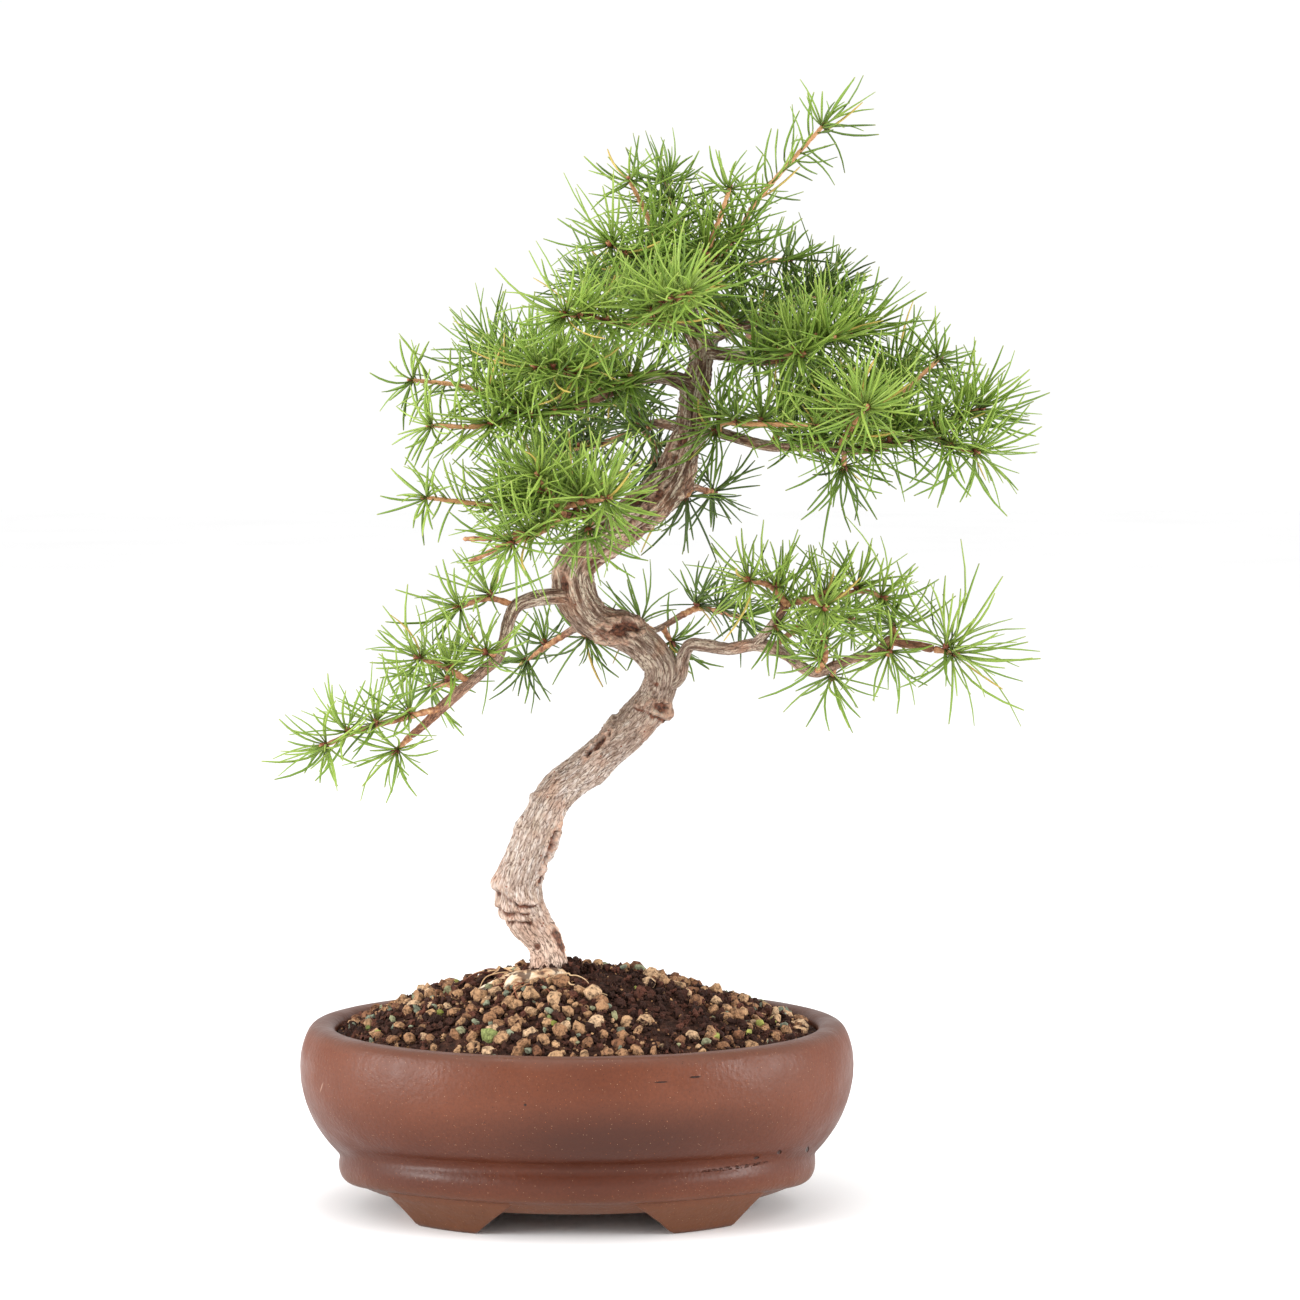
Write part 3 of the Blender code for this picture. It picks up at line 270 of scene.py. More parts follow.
def smooth_route(route, step):
    """Points a step apart on a curve through the route's points.

    Between two points the curve is a cubic whose slope at each is that of the line between its neighbours.
    """
    route = np.asarray(route, float)
    gaps = np.linalg.norm(np.diff(route[:, :3], axis=0), axis=1)
    knots = np.concatenate([[0.0], np.cumsum(gaps)])
    slopes = np.gradient(route, knots, axis=0)
    at = np.linspace(0.0, knots[-1], max(4, int(knots[-1] / step) + 1))
    i = np.clip(np.searchsorted(knots, at, side="right") - 1, 0, len(gaps) - 1)
    reach = gaps[i][:, None]
    u = ((at - knots[i]) / gaps[i])[:, None]
    start = route[i] * (2 * u**3 - 3 * u**2 + 1) + slopes[i] * reach * (u**3 - 2 * u**2 + u)
    end = route[i + 1] * (3 * u**2 - 2 * u**3) + slopes[i + 1] * reach * (u**3 - u**2)
    return start + end


def unit(vectors):
    """Each vector divided by its length."""
    return vectors / np.linalg.norm(vectors, axis=-1, keepdims=True)


def frames_along(centres):
    """(ahead, front, side) at each centre. The front starts towards the viewer, and turns very little."""
    ahead = unit(np.gradient(centres, axis=0))
    front = np.empty_like(ahead)
    last = np.array([0.0, -1.0, 0.0]) if abs(ahead[0, 1]) < 0.9 else np.array([0.0, 0.0, 1.0])
    for i, way in enumerate(ahead):
        last = last - way * (last @ way)
        last = last / np.linalg.norm(last)
        front[i] = last
    return ahead, front, np.cross(ahead, front)


def ways_round(angle, front, side):
    """cos a·front + sin a·side, for every angle of every ring."""
    return np.cos(angle)[None, :, None] * front[:, None] + np.sin(angle)[None, :, None] * side[:, None]


def tube_points(centres, radii, sides):
    """Rings about each centre, centre + radius·way, and a point at each end."""
    ahead, front, side = frames_along(centres)
    radii = np.broadcast_to(np.asarray(radii).reshape(len(centres), -1), (len(centres), sides))
    rings = centres[:, None] + radii[..., None] * ways_round(angles_round(sides), front, side)
    first = centres[0] - ahead[0] * radii[0].mean() * END_DOME
    last = centres[-1] + ahead[-1] * radii[-1].mean() * END_DOME
    return np.concatenate([rings.reshape(-1, 3), [first, last]])


def rounded_ends(lengths, radii, start=True):
    """Radii that close in over the last radius at an end, as a half ball does."""
    closing = np.ones(len(lengths))
    first = [(lengths, radii[0])] if start else []
    for left, ball in [*first, (lengths[-1] - lengths, radii[-1])]:
        share = np.where(left < ball, (1 - (1 - left / ball) ** 2).clip(LEAST_CLOSING, 1), 1.0)
        closing *= np.sqrt(share)
    return radii * closing


def lengths_along(path):
    """How far along the path each of its points lies."""
    return np.concatenate([[0.0], np.cumsum(np.linalg.norm(np.diff(path[:, :3], axis=0), axis=1))])


print("tube tools are ready")

# %% [markdown]
# ## Tools for finishes
#
# A finish is a network of nodes that colours and roughens a surface without any picture. The patterns read
# the object's own coordinates, so they stay fixed to the clay or the bark from every side. Colours are
# written as they look on a screen, from 0 to 255, and are turned into the light values a shader needs.

# %% Screen colours as light
def colour(red, green, blue):
    """Screen values to light: ((c + 0.055) / 1.055) to the power 2.4, or c / 12.92 for the darkest."""
    share = np.array([red, green, blue]) / 255.0
    light = np.where(share > 0.04045, ((share + 0.055) / 1.055) ** 2.4, share / 12.92)
    return (*light.tolist(), 1.0)


print("middle grey as light:", round(colour(128, 128, 128)[0], 3))


# %% Build a finish from nodes
class Finish:
    """A Principled material being built. Each method adds a node and returns the socket to use next."""

    def __init__(self, name, roughness=0.6):
        self.material = bpy.data.materials.new(name)
        self.material.use_nodes = True
        self.nodes = self.material.node_tree.nodes
        self.shader = self.nodes["Principled BSDF"]
        self.shader.inputs["Roughness"].default_value = roughness
        self.place = self.add("TexCoord", "Object")

    def feed(self, node, sockets):
        """Link or set each of a node's inputs."""
        for key, value in sockets.items():
            if isinstance(value, bpy.types.NodeSocket):
                self.material.node_tree.links.new(value, node.inputs[key])
            else:
                node.inputs[key].default_value = value

    def add(self, kind, output, sockets=None, **settings):
        """A new node with its settings, and one of its outputs."""
        node = self.nodes.new("ShaderNode" + kind)
        for key, value in settings.items():
            setattr(node, key, value)
        self.feed(node, sockets or {})
        return node.outputs[output]

    def stretched(self, size, place=(0.0, 0.0, 0.0), turn=(0.0, 0.0, 0.0)):
        """Coordinates measured from a place, in units of the given size along each axis."""
        sockets = {"Vector": self.place, "Location": place, "Rotation": turn, "Scale": size}
        return self.add("Mapping", 0, sockets, vector_type="TEXTURE")

    def noise(self, scale, detail=3.0, at=None, rough=0.5):
        """A cloudy value, mostly between 0.3 and 0.7."""
        sockets = {"Vector": at or self.place, "Scale": scale, "Detail": detail, "Roughness": rough}
        return self.add("TexNoise", "Fac", sockets)

    def cells(self, scale, at=None, feature="F1"):
        """How far it is to the nearest random point, or to the edge between two."""
        sockets = {"Vector": at or self.place, "Scale": scale}
        return self.add("TexVoronoi", "Distance", sockets, feature=feature)

    @staticmethod
    def tint(value, *screen):
        """Three screen values as a colour, one number as a grey, and a colour as it is."""
        if screen:
            return colour(value, *screen)
        return value if np.ndim(value) else (value, value, value, 1.0)

    def steps(self, value, *stops):
        """The colour, or the number, at each value. A stop is the value, then a number or screen values."""
        node = self.nodes.new("ShaderNodeValToRGB")
        self.feed(node, {"Fac": value})
        marks = node.color_ramp.elements
        marks.remove(marks[1])
        marks[0].position, marks[0].color = stops[0][0], self.tint(*stops[0][1:])
        for at, *tint in stops[1:]:
            marks.new(at).color = self.tint(*tint)
        return node.outputs["Color"]

    def mix(self, share, first, second, blend="MIX"):
        """The first where the share is 0, the second where it is 1."""
        return self.add("Mix", 2, {0: share, 6: first, 7: second}, data_type="RGBA", blend_type=blend)

    def over(self, body, share, *screen):
        """The body with a screen colour laid over it by the share."""
        return self.mix(share, body, colour(*screen))

    def sum(self, first, second, operation="ADD"):
        """first + second, or another operation on the two."""
        return self.add("Math", 0, {0: first, 1: second}, operation=operation)

    def times(self, first, second):
        """first · second."""
        return self.sum(first, second, "MULTIPLY")

    def stored(self, name, output="Fac"):
        """A number, or a direction, that was kept on the points."""
        return self.add("Attribute", output, attribute_name=name)

    def height(self):
        """z, in metres."""
        return self.add("SeparateXYZ", "Z", {0: self.place})

    def far(self, vector):
        """The length of a vector."""
        return self.add("VectorMath", "Value", {0: vector}, operation="LENGTH")

    def near(self, place, size, turn=(0.0, 0.0, 0.0)):
        """1 inside an oval spot of the given half-sizes, falling to 0 just outside it."""
        return self.steps(self.far(self.stretched(size, place, turn)), (0.6, 1.0), (1.0, 0.0))

    def bump(self, *layers):
        """Unevenness for the shader: layers of (height, how far it stands in metres)."""
        normal = None
        for height, depth in layers:
            sockets = {"Height": height, "Distance": depth, "Strength": 1.0}
            if normal:
                sockets["Normal"] = normal
            normal = self.add("Bump", 0, sockets)
        self.feed(self.shader, {"Normal": normal})

    def use(self, **sockets):
        """Feed the shader itself. An underscore in a name stands for a space."""
        self.feed(self.shader, {key.replace("_", " "): value for key, value in sockets.items()})
        return self.material


print("finish tools are ready")


# %% Dress a piece
def dress(piece, finish):
    """Give the piece its material and the body it moves with."""
    piece.data.materials.clear()
    piece.data.materials.append(finish)
    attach(piece, "root")
    print(piece.name, triangle_count(piece), "triangles")


print("pieces can be dressed")

# %% [markdown]
# ## The pot
#
# A potter presses clay into an oval mould, so the wall is one profile carried round an oval. The profile
# runs from the middle of the floor, up the inner wall, over the rolled lip, down the full belly to a
# narrow waist, and over a low band to the underside. A turned surface with its depth brought in is the
# quickest way to make it, and noise of a fraction of a millimetre takes away the machine look.

# %% The pot's profile
INNER_PROFILE = metres([(78, 18), (88.5, 22.5), (93.5, 32), (95.8, 46), (96.2, 60)])
LIP_PROFILE = metres([
    (95.5, 69), (95.8, 71.1), (97.2, 72.6), (99.5, 73.2), (102.2, 73.2), (104.4, 72.7), (106.2, 71.2),
    (107.4, 69),
])
OUTER_PROFILE = metres([
    (108.9, 64.5), (109.7, 59), (109.7, 52.5), (108.5, 45.8), (106, 38.5), (102.1, 31.2), (98.3, 25.8),
    (96.1, 23.2),
])
SHELF_PROFILE = metres([
    (95.1, 22.1), (94.6, 21.2), (94.4, 20.3), (94.5, 19.2), (94.7, 18), (94.7, 16.2), (94.3, 14.2),
    (93.5, 12.4), (92, 10.9), (90.3, 10.1),
])
UNDER_PROFILE = metres([(88.5, 10), (70, 10), (35, 10)])
FLOOR_RADIUS, POT_FLOOR = INNER_PROFILE[0]
MIDDLE_RADIUS, POT_UNDERSIDE = UNDER_PROFILE[-1]
POT_DEPTH_SHARE = 0.77
POT_STEPS = 240
PROFILE_STEP = 0.0011


def pot_profile():
    """(radius, z) at close stations: a smooth curve through the wall, and crisp corners at the floor."""
    wall = INNER_PROFILE + LIP_PROFILE + OUTER_PROFILE + SHELF_PROFILE + UNDER_PROFILE
    floor = [(FLOOR_RADIUS * share, POT_FLOOR) for share in (0.02, 0.25, 0.5, 0.75, 0.95)]
    flat = [(MIDDLE_RADIUS * share, POT_UNDERSIDE) for share in (0.6, 0.02)]
    return np.concatenate([floor, smooth_route(wall, PROFILE_STEP), flat])


print("stations along the profile:", len(pot_profile()))

# %% [markdown]
# The low band rises towards the middle of each long side, and stands proud there in a soft round roll. The
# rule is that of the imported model, with a fuller rise, so that the groove over the band stays shallow.

# %% Carry the profile round the oval
BAND_LIFT = 0.0078
BAND_PROUD = 0.0027
BAND_FADE_TOP = 0.046
BAND_FADE = 0.022
BAND_SHELF = 0.0210
BAND_ROLL = 0.0050
BAND_UNDER = 0.72
OUTSIDE_FROM = 0.084
OUTSIDE_OVER = 0.006
HAND_WAVES = (55.0, 0.00022)
HAND_GRAIN = (420.0, 0.00005)


def eased(share):
    """0 below 0 and 1 above 1, with a smooth step of 3u² - 2u³ between."""
    share = np.clip(share, 0.0, 1.0)
    return share * share * (3.0 - 2.0 * share)


def pot_points():
    """x = r·cos a and y = 0.77·r·sin a. By the band, z and y grow with side = 1 - e to the (-3·sin² a)."""
    profile = pot_profile()
    angle = angles_round(POT_STEPS)
    radius, z = (np.repeat(profile[:, i : i + 1], POT_STEPS, 1) for i in (0, 1))
    after_lip = (np.arange(len(profile)) > profile[:, 1].argmax())[:, None]
    outside = after_lip * eased((radius - OUTSIDE_FROM) / OUTSIDE_OVER)
    side = 1.0 - np.exp(-3.0 * np.sin(angle)[None] ** 2)
    fade = np.clip((BAND_FADE_TOP - z) / BAND_FADE, 0.0, 1.0)
    proud = BAND_PROUD * side * eased((BAND_SHELF - z) / BAND_ROLL) * outside
    under = BAND_UNDER + (1.0 - BAND_UNDER) * eased((z - POT_UNDERSIDE) / POT_UNDERSIDE)
    lift = BAND_LIFT * side * fade * fade * under * outside
    deep = (radius * POT_DEPTH_SHARE + proud) * np.sin(angle)
    points = np.stack([radius * np.cos(angle), deep, z + lift], -1)
    hand = HAND_WAVES[1] * rough(points * HAND_WAVES[0], 2) + HAND_GRAIN[1] * noise(points * HAND_GRAIN[0])
    away = np.stack([np.cos(angle), np.sin(angle), np.zeros(POT_STEPS)], -1)
    return points + away * (hand * (profile[:, 1:] > POT_FLOOR + 0.001))[..., None]


def pot_body():
    """Rings join into faces, and each end of the profile closes in one middle point."""
    points = pot_points()
    rings = len(points)
    middles = [(0.0, 0.0, POT_FLOOR), (0.0, 0.0, POT_UNDERSIDE)]
    points = np.concatenate([points.reshape(-1, 3), middles]) + POT_CENTRE
    return make_piece("pot_clay", points, *closed(rings, POT_STEPS, inward=True))


pot = pot_body()
print("pot triangles:", triangle_count(pot))

# %% [markdown]
# Two drain holes go through the floor. They are cut with a Boolean, which leaves a clean edge, because a
# hole in a polar grid would need its own layout of faces. Their rims lie under the mesh and the soil.

# %% Cut the drain holes
DRAIN_X = 0.045
DRAIN_RADIUS = 0.0085
CUTTER_LENGTH = 0.03
MID_FLOOR = 0.014


def drain_cutter(across):
    """A rod through the floor, a drain's width across, left or right of the middle."""
    shape = bmesh.new()
    bmesh.ops.create_cone(shape, cap_ends=True, segments=48, radius1=DRAIN_RADIUS, radius2=DRAIN_RADIUS,
                          depth=CUTTER_LENGTH)
    bmesh.ops.translate(shape, verts=shape.verts, vec=POT_CENTRE + (across * DRAIN_X, 0.0, MID_FLOOR))
    mesh = bpy.data.meshes.new("drain_cutter")
    shape.to_mesh(mesh)
    shape.free()
    return bpy.data.objects.new("drain_cutter", mesh)


def cut(piece, cutters):
    """Take each cutter's shape out of the piece."""
    for cutter in cutters:
        bpy.context.scene.collection.objects.link(cutter)
        modifier = piece.modifiers.new("cut", "BOOLEAN")
        modifier.object = cutter
        modifier.operation = "DIFFERENCE"
        modifier.solver = "EXACT"
    bpy.context.view_layer.update()
    finished = bpy.data.meshes.new_from_object(piece.evaluated_get(bpy.context.evaluated_depsgraph_get()))
    piece.modifiers.clear()
    piece.data = finished
    for cutter in cutters:
        bpy.data.objects.remove(cutter)


cut(pot, [drain_cutter(-1), drain_cutter(1)])
pot.data.shade_smooth()
pot.data.set_sharp_from_angle(angle=math.radians(50))
print("pot triangles with holes:", triangle_count(pot))

# %% [markdown]
# Four bracket feet carry the pot. Each follows the oval, leans inwards towards the table, and has hollowed
# slanted ends. A foot is a closed outline of radius and height carried along the oval. The outline
# shrinks at each end, which rounds the edges as a wet sponge does.

# %% The feet
FOOT_OUTLINE = metres([
    (64.5, 13.5), (66.8, 5), (67.6, 0.8), (68.4, 0.1), (73, 0), (80, 0.1), (81.2, 0.8), (83.4, 4),
    (87.6, 9.5), (90.4, 13), (91.2, 16.2), (86, 16.8), (70, 14),
])
FOOT_TOP = 0.0168
FOOT_INNER_END = (0.0185, 0.038)
FOOT_OUTER_END = (0.0775, 0.061)
FOOT_STATIONS = 60
FOOT_ROUNDING = 38.0
END_SHRINK = (0.10, 0.06)
END_HOLLOWS = (0.80, 0.95)


def foot_points(across, deep):
    """x runs from the inner to the outer end at each height, and y = 0.77·√(r² - x²) follows the oval."""
    outline = smooth_route(FOOT_OUTLINE + FOOT_OUTLINE[:1], 0.0009)[:-1]
    share = 0.5 - 0.5 * np.cos(np.linspace(0.0, math.pi, FOOT_STATIONS))[:, None]
    middle = outline.mean(0)
    from_end = np.minimum(share, 1 - share)
    ball = np.sqrt(np.clip(1 - (1 - from_end * FOOT_ROUNDING) ** 2, 0.0, 1.0))
    close = np.where(from_end < 1 / FOOT_ROUNDING, ball, 1.0)
    radius = middle[0] + (outline[:, 0] - middle[0]) * (1.0 - END_SHRINK[0] + END_SHRINK[0] * close)
    z = middle[1] + (outline[:, 1] - middle[1]) * (1.0 - END_SHRINK[1] + END_SHRINK[1] * close)
    slope = np.clip(1.0 - z / FOOT_TOP, 0.0, 1.0)
    inner = FOOT_INNER_END[0] + (FOOT_INNER_END[1] - FOOT_INNER_END[0]) * slope ** END_HOLLOWS[0]
    outer = FOOT_OUTER_END[0] + (FOOT_OUTER_END[1] - FOOT_OUTER_END[0]) * slope ** END_HOLLOWS[1]
    x = inner + (outer - inner) * share
    y = POT_DEPTH_SHARE * np.sqrt(np.maximum(radius**2 - x**2, 0.0001))
    return np.stack([across * x, deep * y, np.maximum(z, 0.0)], -1)


def feet():
    """The four feet are one rule mirrored. A mirrored foot has its faces turned outwards again."""
    pile = Pile()
    for across in (-1, 1):
        for deep in (-1, 1):
            points = foot_points(across, deep)
            rings, sides = points.shape[:2]
            worn = points + 0.00012 * noise(points * 300.0)[..., None] * (points[..., 2:] > 0.001)
            ends = worn[[0, -1]].mean(1)
            flip = across * deep > 0
            pile.add(np.concatenate([worn.reshape(-1, 3), ends]) + POT_CENTRE, *closed(rings, sides, flip))
    return pile.piece("pot_feet")


pot_feet = feet()
print("feet triangles:", triangle_count(pot_feet))

# %% [markdown]
# The clay is unglazed and fired to a warm brown. It has cloudy patches from the firing, and is full of fine
# grog: pale, orange and dark specks smaller than a millimetre. Painted shade darkens the waist and the lower
# belly, with a darker patch low on the front. The lip has a greyish bloom. A few slits, pits, a scratch and
# a crumbly line are real faults of this pot, and each is an oval spot placed where the clay shows it. The
# slits, pits and crumbly line are painted dark, as the shade inside them.

# %% The clay finish
GROG = [(620.0, 0.08, 196, 156, 124), (480.0, 0.09, 150, 84, 48), (380.0, 0.09, 52, 30, 24)]
SLITS = [[(33.2, -80, 64), (2.6, 20, 0.3)], [(46, -76, 65.2), (2.2, 20, 0.4)]]
PITS = [[(79, -50, 30), (1, 20, 1.4)], [(90.5, -33, 27.5), (0.8, 20, 2)],
        [(70, -56, 29), (1.2, 20, 0.8)], [(-18, -80, 56), (0.6, 20, 0.5)]]
CRUMBLY = [(64, -58, 26.2), (19, 20, 0.7)]
SCRATCH = [(-98.5, -30, 54), (0.3, 20, 3)]
SCRATCH_TURN = math.radians(18.0)
FRONT_SHADE_PATCH = [(15, -75, 42), (85, 60, 16)]
BELLY_SHADE = (0.66, 0.56, 0.48, 1.0)
BELLY_SHADE_FADE = (0.74, 0.64, 0.56, 1.0)


def clay_finish():
    """Warm body, clouds from the firing, painted shade low on the belly and in a patch on its front, bloom,
    grog, the scratch, and the slits, pits and crumbly line with the shade inside them painted dark, laid
    over each other in that order.
    """
    def spot(fault, turn=(0.0, 0.0, 0.0)):
        """1 in the oval of a fault, which is its place from the pot's centre and its half-sizes."""
        place, size = metres(fault)
        return clay.near(tuple(POT_CENTRE + place), size, turn)

    clay = Finish("fired_clay")
    cloud = clay.noise(14.0, 4.0)
    body = clay.steps(cloud, (0.30, 86, 43, 26), (0.50, 97, 50, 30), (0.72, 108, 58, 37))
    fine = clay.noise(900.0, 2.0)
    body = clay.over(body, clay.steps(fine, (0.35, 0.22), (0.60, 0.0)), 66, 34, 22)
    height = clay.height()
    # Painted shade: the clay is darkened from the band up, most at the waist, and fades out by mid-belly.
    belly_shade = clay.steps(height, (0.014, 0.96), (0.024, BELLY_SHADE), (0.034, BELLY_SHADE_FADE), (0.053, 1.0))
    body = clay.mix(1.0, body, belly_shade, "MULTIPLY")
    # Painted shade: a darker oval patch low on the front of the belly.
    place, size = metres(FRONT_SHADE_PATCH)
    front_shade = clay.far(clay.stretched(size, tuple(POT_CENTRE + place)))
    body = clay.over(body, clay.steps(front_shade, (0.25, 0.70), (1.0, 0.0)), 56, 27, 18)
    wavy = clay.sum(height, clay.times(clay.noise(60.0), 0.003))
    bloom = clay.steps(wavy, (0.0712, 0.0), (0.0745, 0.55))
    body = clay.over(body, bloom, 92, 64, 53)
    low = clay.steps(height, (0.011, 0.45), (0.019, 0.0))
    body = clay.over(body, low, 96, 64, 40)
    for scale, most, *tint in GROG:
        speck = clay.steps(clay.cells(scale), (most * 0.6, 0.80), (most, 0.0))
        body = clay.over(body, speck, *tint)
    broken = clay.steps(clay.noise(900.0, 4.0, rough=0.7), (0.44, 0.8), (0.52, 0.0))
    crumbly = clay.times(spot(CRUMBLY), broken)
    scratch = spot(SCRATCH, (0.0, SCRATCH_TURN, 0.0))
    body = clay.over(body, clay.times(scratch, 0.5), 170, 138, 120)
    # Painted shade: the slits, pits and crumbly line are painted very dark, as the shade inside them, and the
    # same mask sinks them in the bump.
    shaded_faults = clay.times(crumbly, 0.6)
    for fault in SLITS + PITS:
        shaded_faults = clay.sum(spot(fault), shaded_faults, "MAXIMUM")
    body = clay.over(body, shaded_faults, 48, 28, 22)
    satin = clay.steps(clay.noise(70.0, 3.0), (0.35, 0.35), (0.65, 0.50))
    clay.bump((clay.noise(520.0, 3.0), 0.00022), (clay.sum(1.0, shaded_faults, "SUBTRACT"), 0.0012))
    return clay.use(Base_Color=body, Roughness=satin, Specular_IOR_Level=0.28)


CLAY = clay_finish()
for piece in (pot, pot_feet):
    dress(piece, CLAY)
    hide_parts("pot")

# %% [markdown]
# A square of black plastic mesh lies over each drain hole and keeps the soil in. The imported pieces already
# have the right bars, so they only get a finish: black, a little scuffed and dusty with soil.

# %% The drain mesh finish
def plastic_finish():
    """Black with a brown dust, where a noise is high."""
    plastic = Finish("scuffed_plastic")
    dust = plastic.steps(plastic.noise(300.0, 4.0), (0.45, 24, 24, 25), (0.75, 88, 72, 56))
    plastic.bump((plastic.noise(900.0), 0.0001))
    scuffs = plastic.steps(plastic.noise(150.0), (0.3, 0.4), (0.7, 0.7))
    return plastic.use(Base_Color=dust, Roughness=scuffs)


PLASTIC = plastic_finish()
for name in ("drain_mesh_left", "drain_mesh_right"):
    bpy.data.objects[name].data.materials.clear()
    bpy.data.objects[name].data.materials.append(PLASTIC)
print("drain meshes are finished")

# %% [markdown]
# ## The soil
#
# The bed is a mound of dark peat with tan pumice, grey-green stone and bits of root mixed in. The mound
# itself is one surface with a formula for its height. Loose grains then lie on it, half sunk, because it is
# the separate grains with shadows between them that make soil look real.

# %% The mound
SOIL_MOUTH = 0.0950
SOIL_EDGE = 0.0695
SOIL_CREST = 0.0945
SOIL_FALL = 1.55
CREST_SHIFT = -0.005
LUMPS = (110.0, 0.0012)
CRUMBLE = (420.0, 0.0008)
BED_SUNK = 0.0006
SOIL_RINGS = 84
SOIL_STEPS = 200
SOIL_WALL = metres([(95.2, 68.5), (95.6, 60), (95.2, 46), (92.9, 32), (88, 24), (78, 20.7), (1, 20.6)])


def loose(share):
    """1 over most of the mound, falling to 0 at the wall, where the bed is pressed smooth."""
    return np.clip(6.0 * (1.0 - share), 0.0, 1.0)


def soil_height(x, y):
    """z = edge + (crest - edge)·(1 - share to the power 1.55). The share runs from crest to wall."""
    share = np.zeros(np.shape(x))
    for _ in range(3):
        share = np.hypot(x - CREST_SHIFT * (1.0 - share), y / POT_DEPTH_SHARE) / SOIL_MOUTH
        share = np.clip(share, 0.0, 1.0)
    lumps = LUMPS[1] * rough(np.stack([x, y, 0 * x], -1) * LUMPS[0], 2) * loose(share)
    return SOIL_EDGE + (SOIL_CREST - SOIL_EDGE) * (1.0 - share**SOIL_FALL) + lumps


def soil_bed():
    """Rings of the oval from crest to wall at the soil's height, and then down the wall and under."""
    share = np.linspace(0.004, 1.0, SOIL_RINGS)[:, None]
    angle = angles_round(SOIL_STEPS)
    x = SOIL_MOUTH * share * np.cos(angle) + CREST_SHIFT * (1.0 - share)
    y = SOIL_MOUTH * share * np.sin(angle) * POT_DEPTH_SHARE
    crumbs = (CRUMBLE[1] * rough(np.stack([x, y, 0 * x], -1) * CRUMBLE[0], 3) - BED_SUNK) * loose(share)
    top = np.stack([x, y, soil_height(x, y) + crumbs], -1)
    wall = np.array(SOIL_WALL)
    skirt = np.stack([wall[:, :1] * np.cos(angle), wall[:, :1] * POT_DEPTH_SHARE * np.sin(angle),
                      np.repeat(wall[:, 1:], SOIL_STEPS, 1)], -1)
    rings = np.concatenate([top, skirt])
    points = np.concatenate([rings.reshape(-1, 3), [top[0].mean(0), skirt[-1].mean(0)]]) + POT_CENTRE
    return make_piece("soil_bed", points, *closed(len(rings), SOIL_STEPS, inward=True))


soil = soil_bed()
print("mound triangles:", triangle_count(soil))

# %% [markdown]
# A grain is a small ball with flat chips knocked off it. Each has its own chips, stretch and turn, so no
# two are alike, yet one array holds them all. Peat is crumbly instead: its points are pushed in and out at
# random. Grains are kept to 48 faces, because there are thousands, and the faces stay flat, as chips are.

# %% Shapes of grains
GRAIN_RINGS = 4
GRAIN_SIDES = 6
CHIPS_OFF = 7
CHIP_REACH = (0.45, 0.95)
CHIP_FACING = 0.3


def unit_ball(rings, sides):
    """Directions in rings round the Z axis, from one pole to the other, and then the two poles."""
    polar = np.linspace(0.0, math.pi, rings + 2)[1:-1, None]
    angle = angles_round(sides)
    lattice = np.stack([np.sin(polar) * np.cos(angle), np.sin(polar) * np.sin(angle),
                        -np.cos(polar) + 0.0 * angle], -1)
    return np.concatenate([lattice.reshape(-1, 3), [(0.0, 0.0, -1.0), (0.0, 0.0, 1.0)]])


def copies(rings, sides, each, count):
    """The faces of one closed shape, repeated for every copy of its points."""
    start = each * np.arange(count)[:, None, None]
    return [(faces + start).reshape(-1, faces.shape[1]) for faces in closed(rings, sides)]


def random_turns(rng, count):
    """One rotation for each grain, from three square axes built on two random directions."""
    first = unit(rng.normal(size=(count, 3)))
    second = unit(np.cross(first, rng.normal(size=(count, 3))))
    return np.stack([first, second, np.cross(first, second)], 1)


def grain_points(rng, places, sizes, flatness, crumble, ball):
    """Radius in a direction: the least of 1 and reach / (chip's direction · that direction), over 7 chips.

    A crumbly grain has a random share added to or taken off each point's radius.
    """
    count = len(places)
    chips = unit(rng.normal(size=(count, CHIPS_OFF, 3)))
    reach = rng.uniform(*CHIP_REACH, (count, 1, CHIPS_OFF))
    facing = np.einsum("pk,nck->npc", ball, chips)
    depth = np.where(facing > CHIP_FACING, reach / np.maximum(facing, CHIP_FACING), 1.0)
    radius = depth.min(2).clip(max=1.0)
    radius = radius * (1.0 + crumble * rng.uniform(-1.0, 1.0, radius.shape))
    stretch = np.stack([np.ones(count), rng.uniform(0.6, 1.0, count), rng.uniform(flatness, 1.0, count)], -1)
    shape = ball[None] * radius[..., None] * stretch[:, None]
    turned = np.einsum("npk,nkj->npj", shape, random_turns(rng, count))
    return turned * sizes[:, None, None] + places[:, None]


print("faces of a grain:", GRAIN_RINGS * GRAIN_SIDES * 2)

# %% [markdown]
# The grains are thrown on the mound in patches, with the largest placed first. A grain that would sit
# too far inside one already there is left out. Smaller ones fill the space between. The foot of the trunk
# and the worn root that lies beside it are kept clear.

# %% Scatter the grains
TRUNK_FOOT = (-0.0115, 0.001)
TRUNK_CLEAR = 0.0100
WORN_ROOT_PLACE = (-0.0140, -0.0155)
WORN_ROOT_SIZE = (0.0150, 0.0048)
OUTERMOST_SHARE = 0.992
PATCH_SCALE = 55.0
PATCH_BLUR = 0.20
MORE_OUTSIDE = 0.9


def on_mound(x, y, rise=0.0):
    """(x, y, the soil's height there + rise)."""
    return np.stack([x, y, soil_height(x, y) + rise], -1)


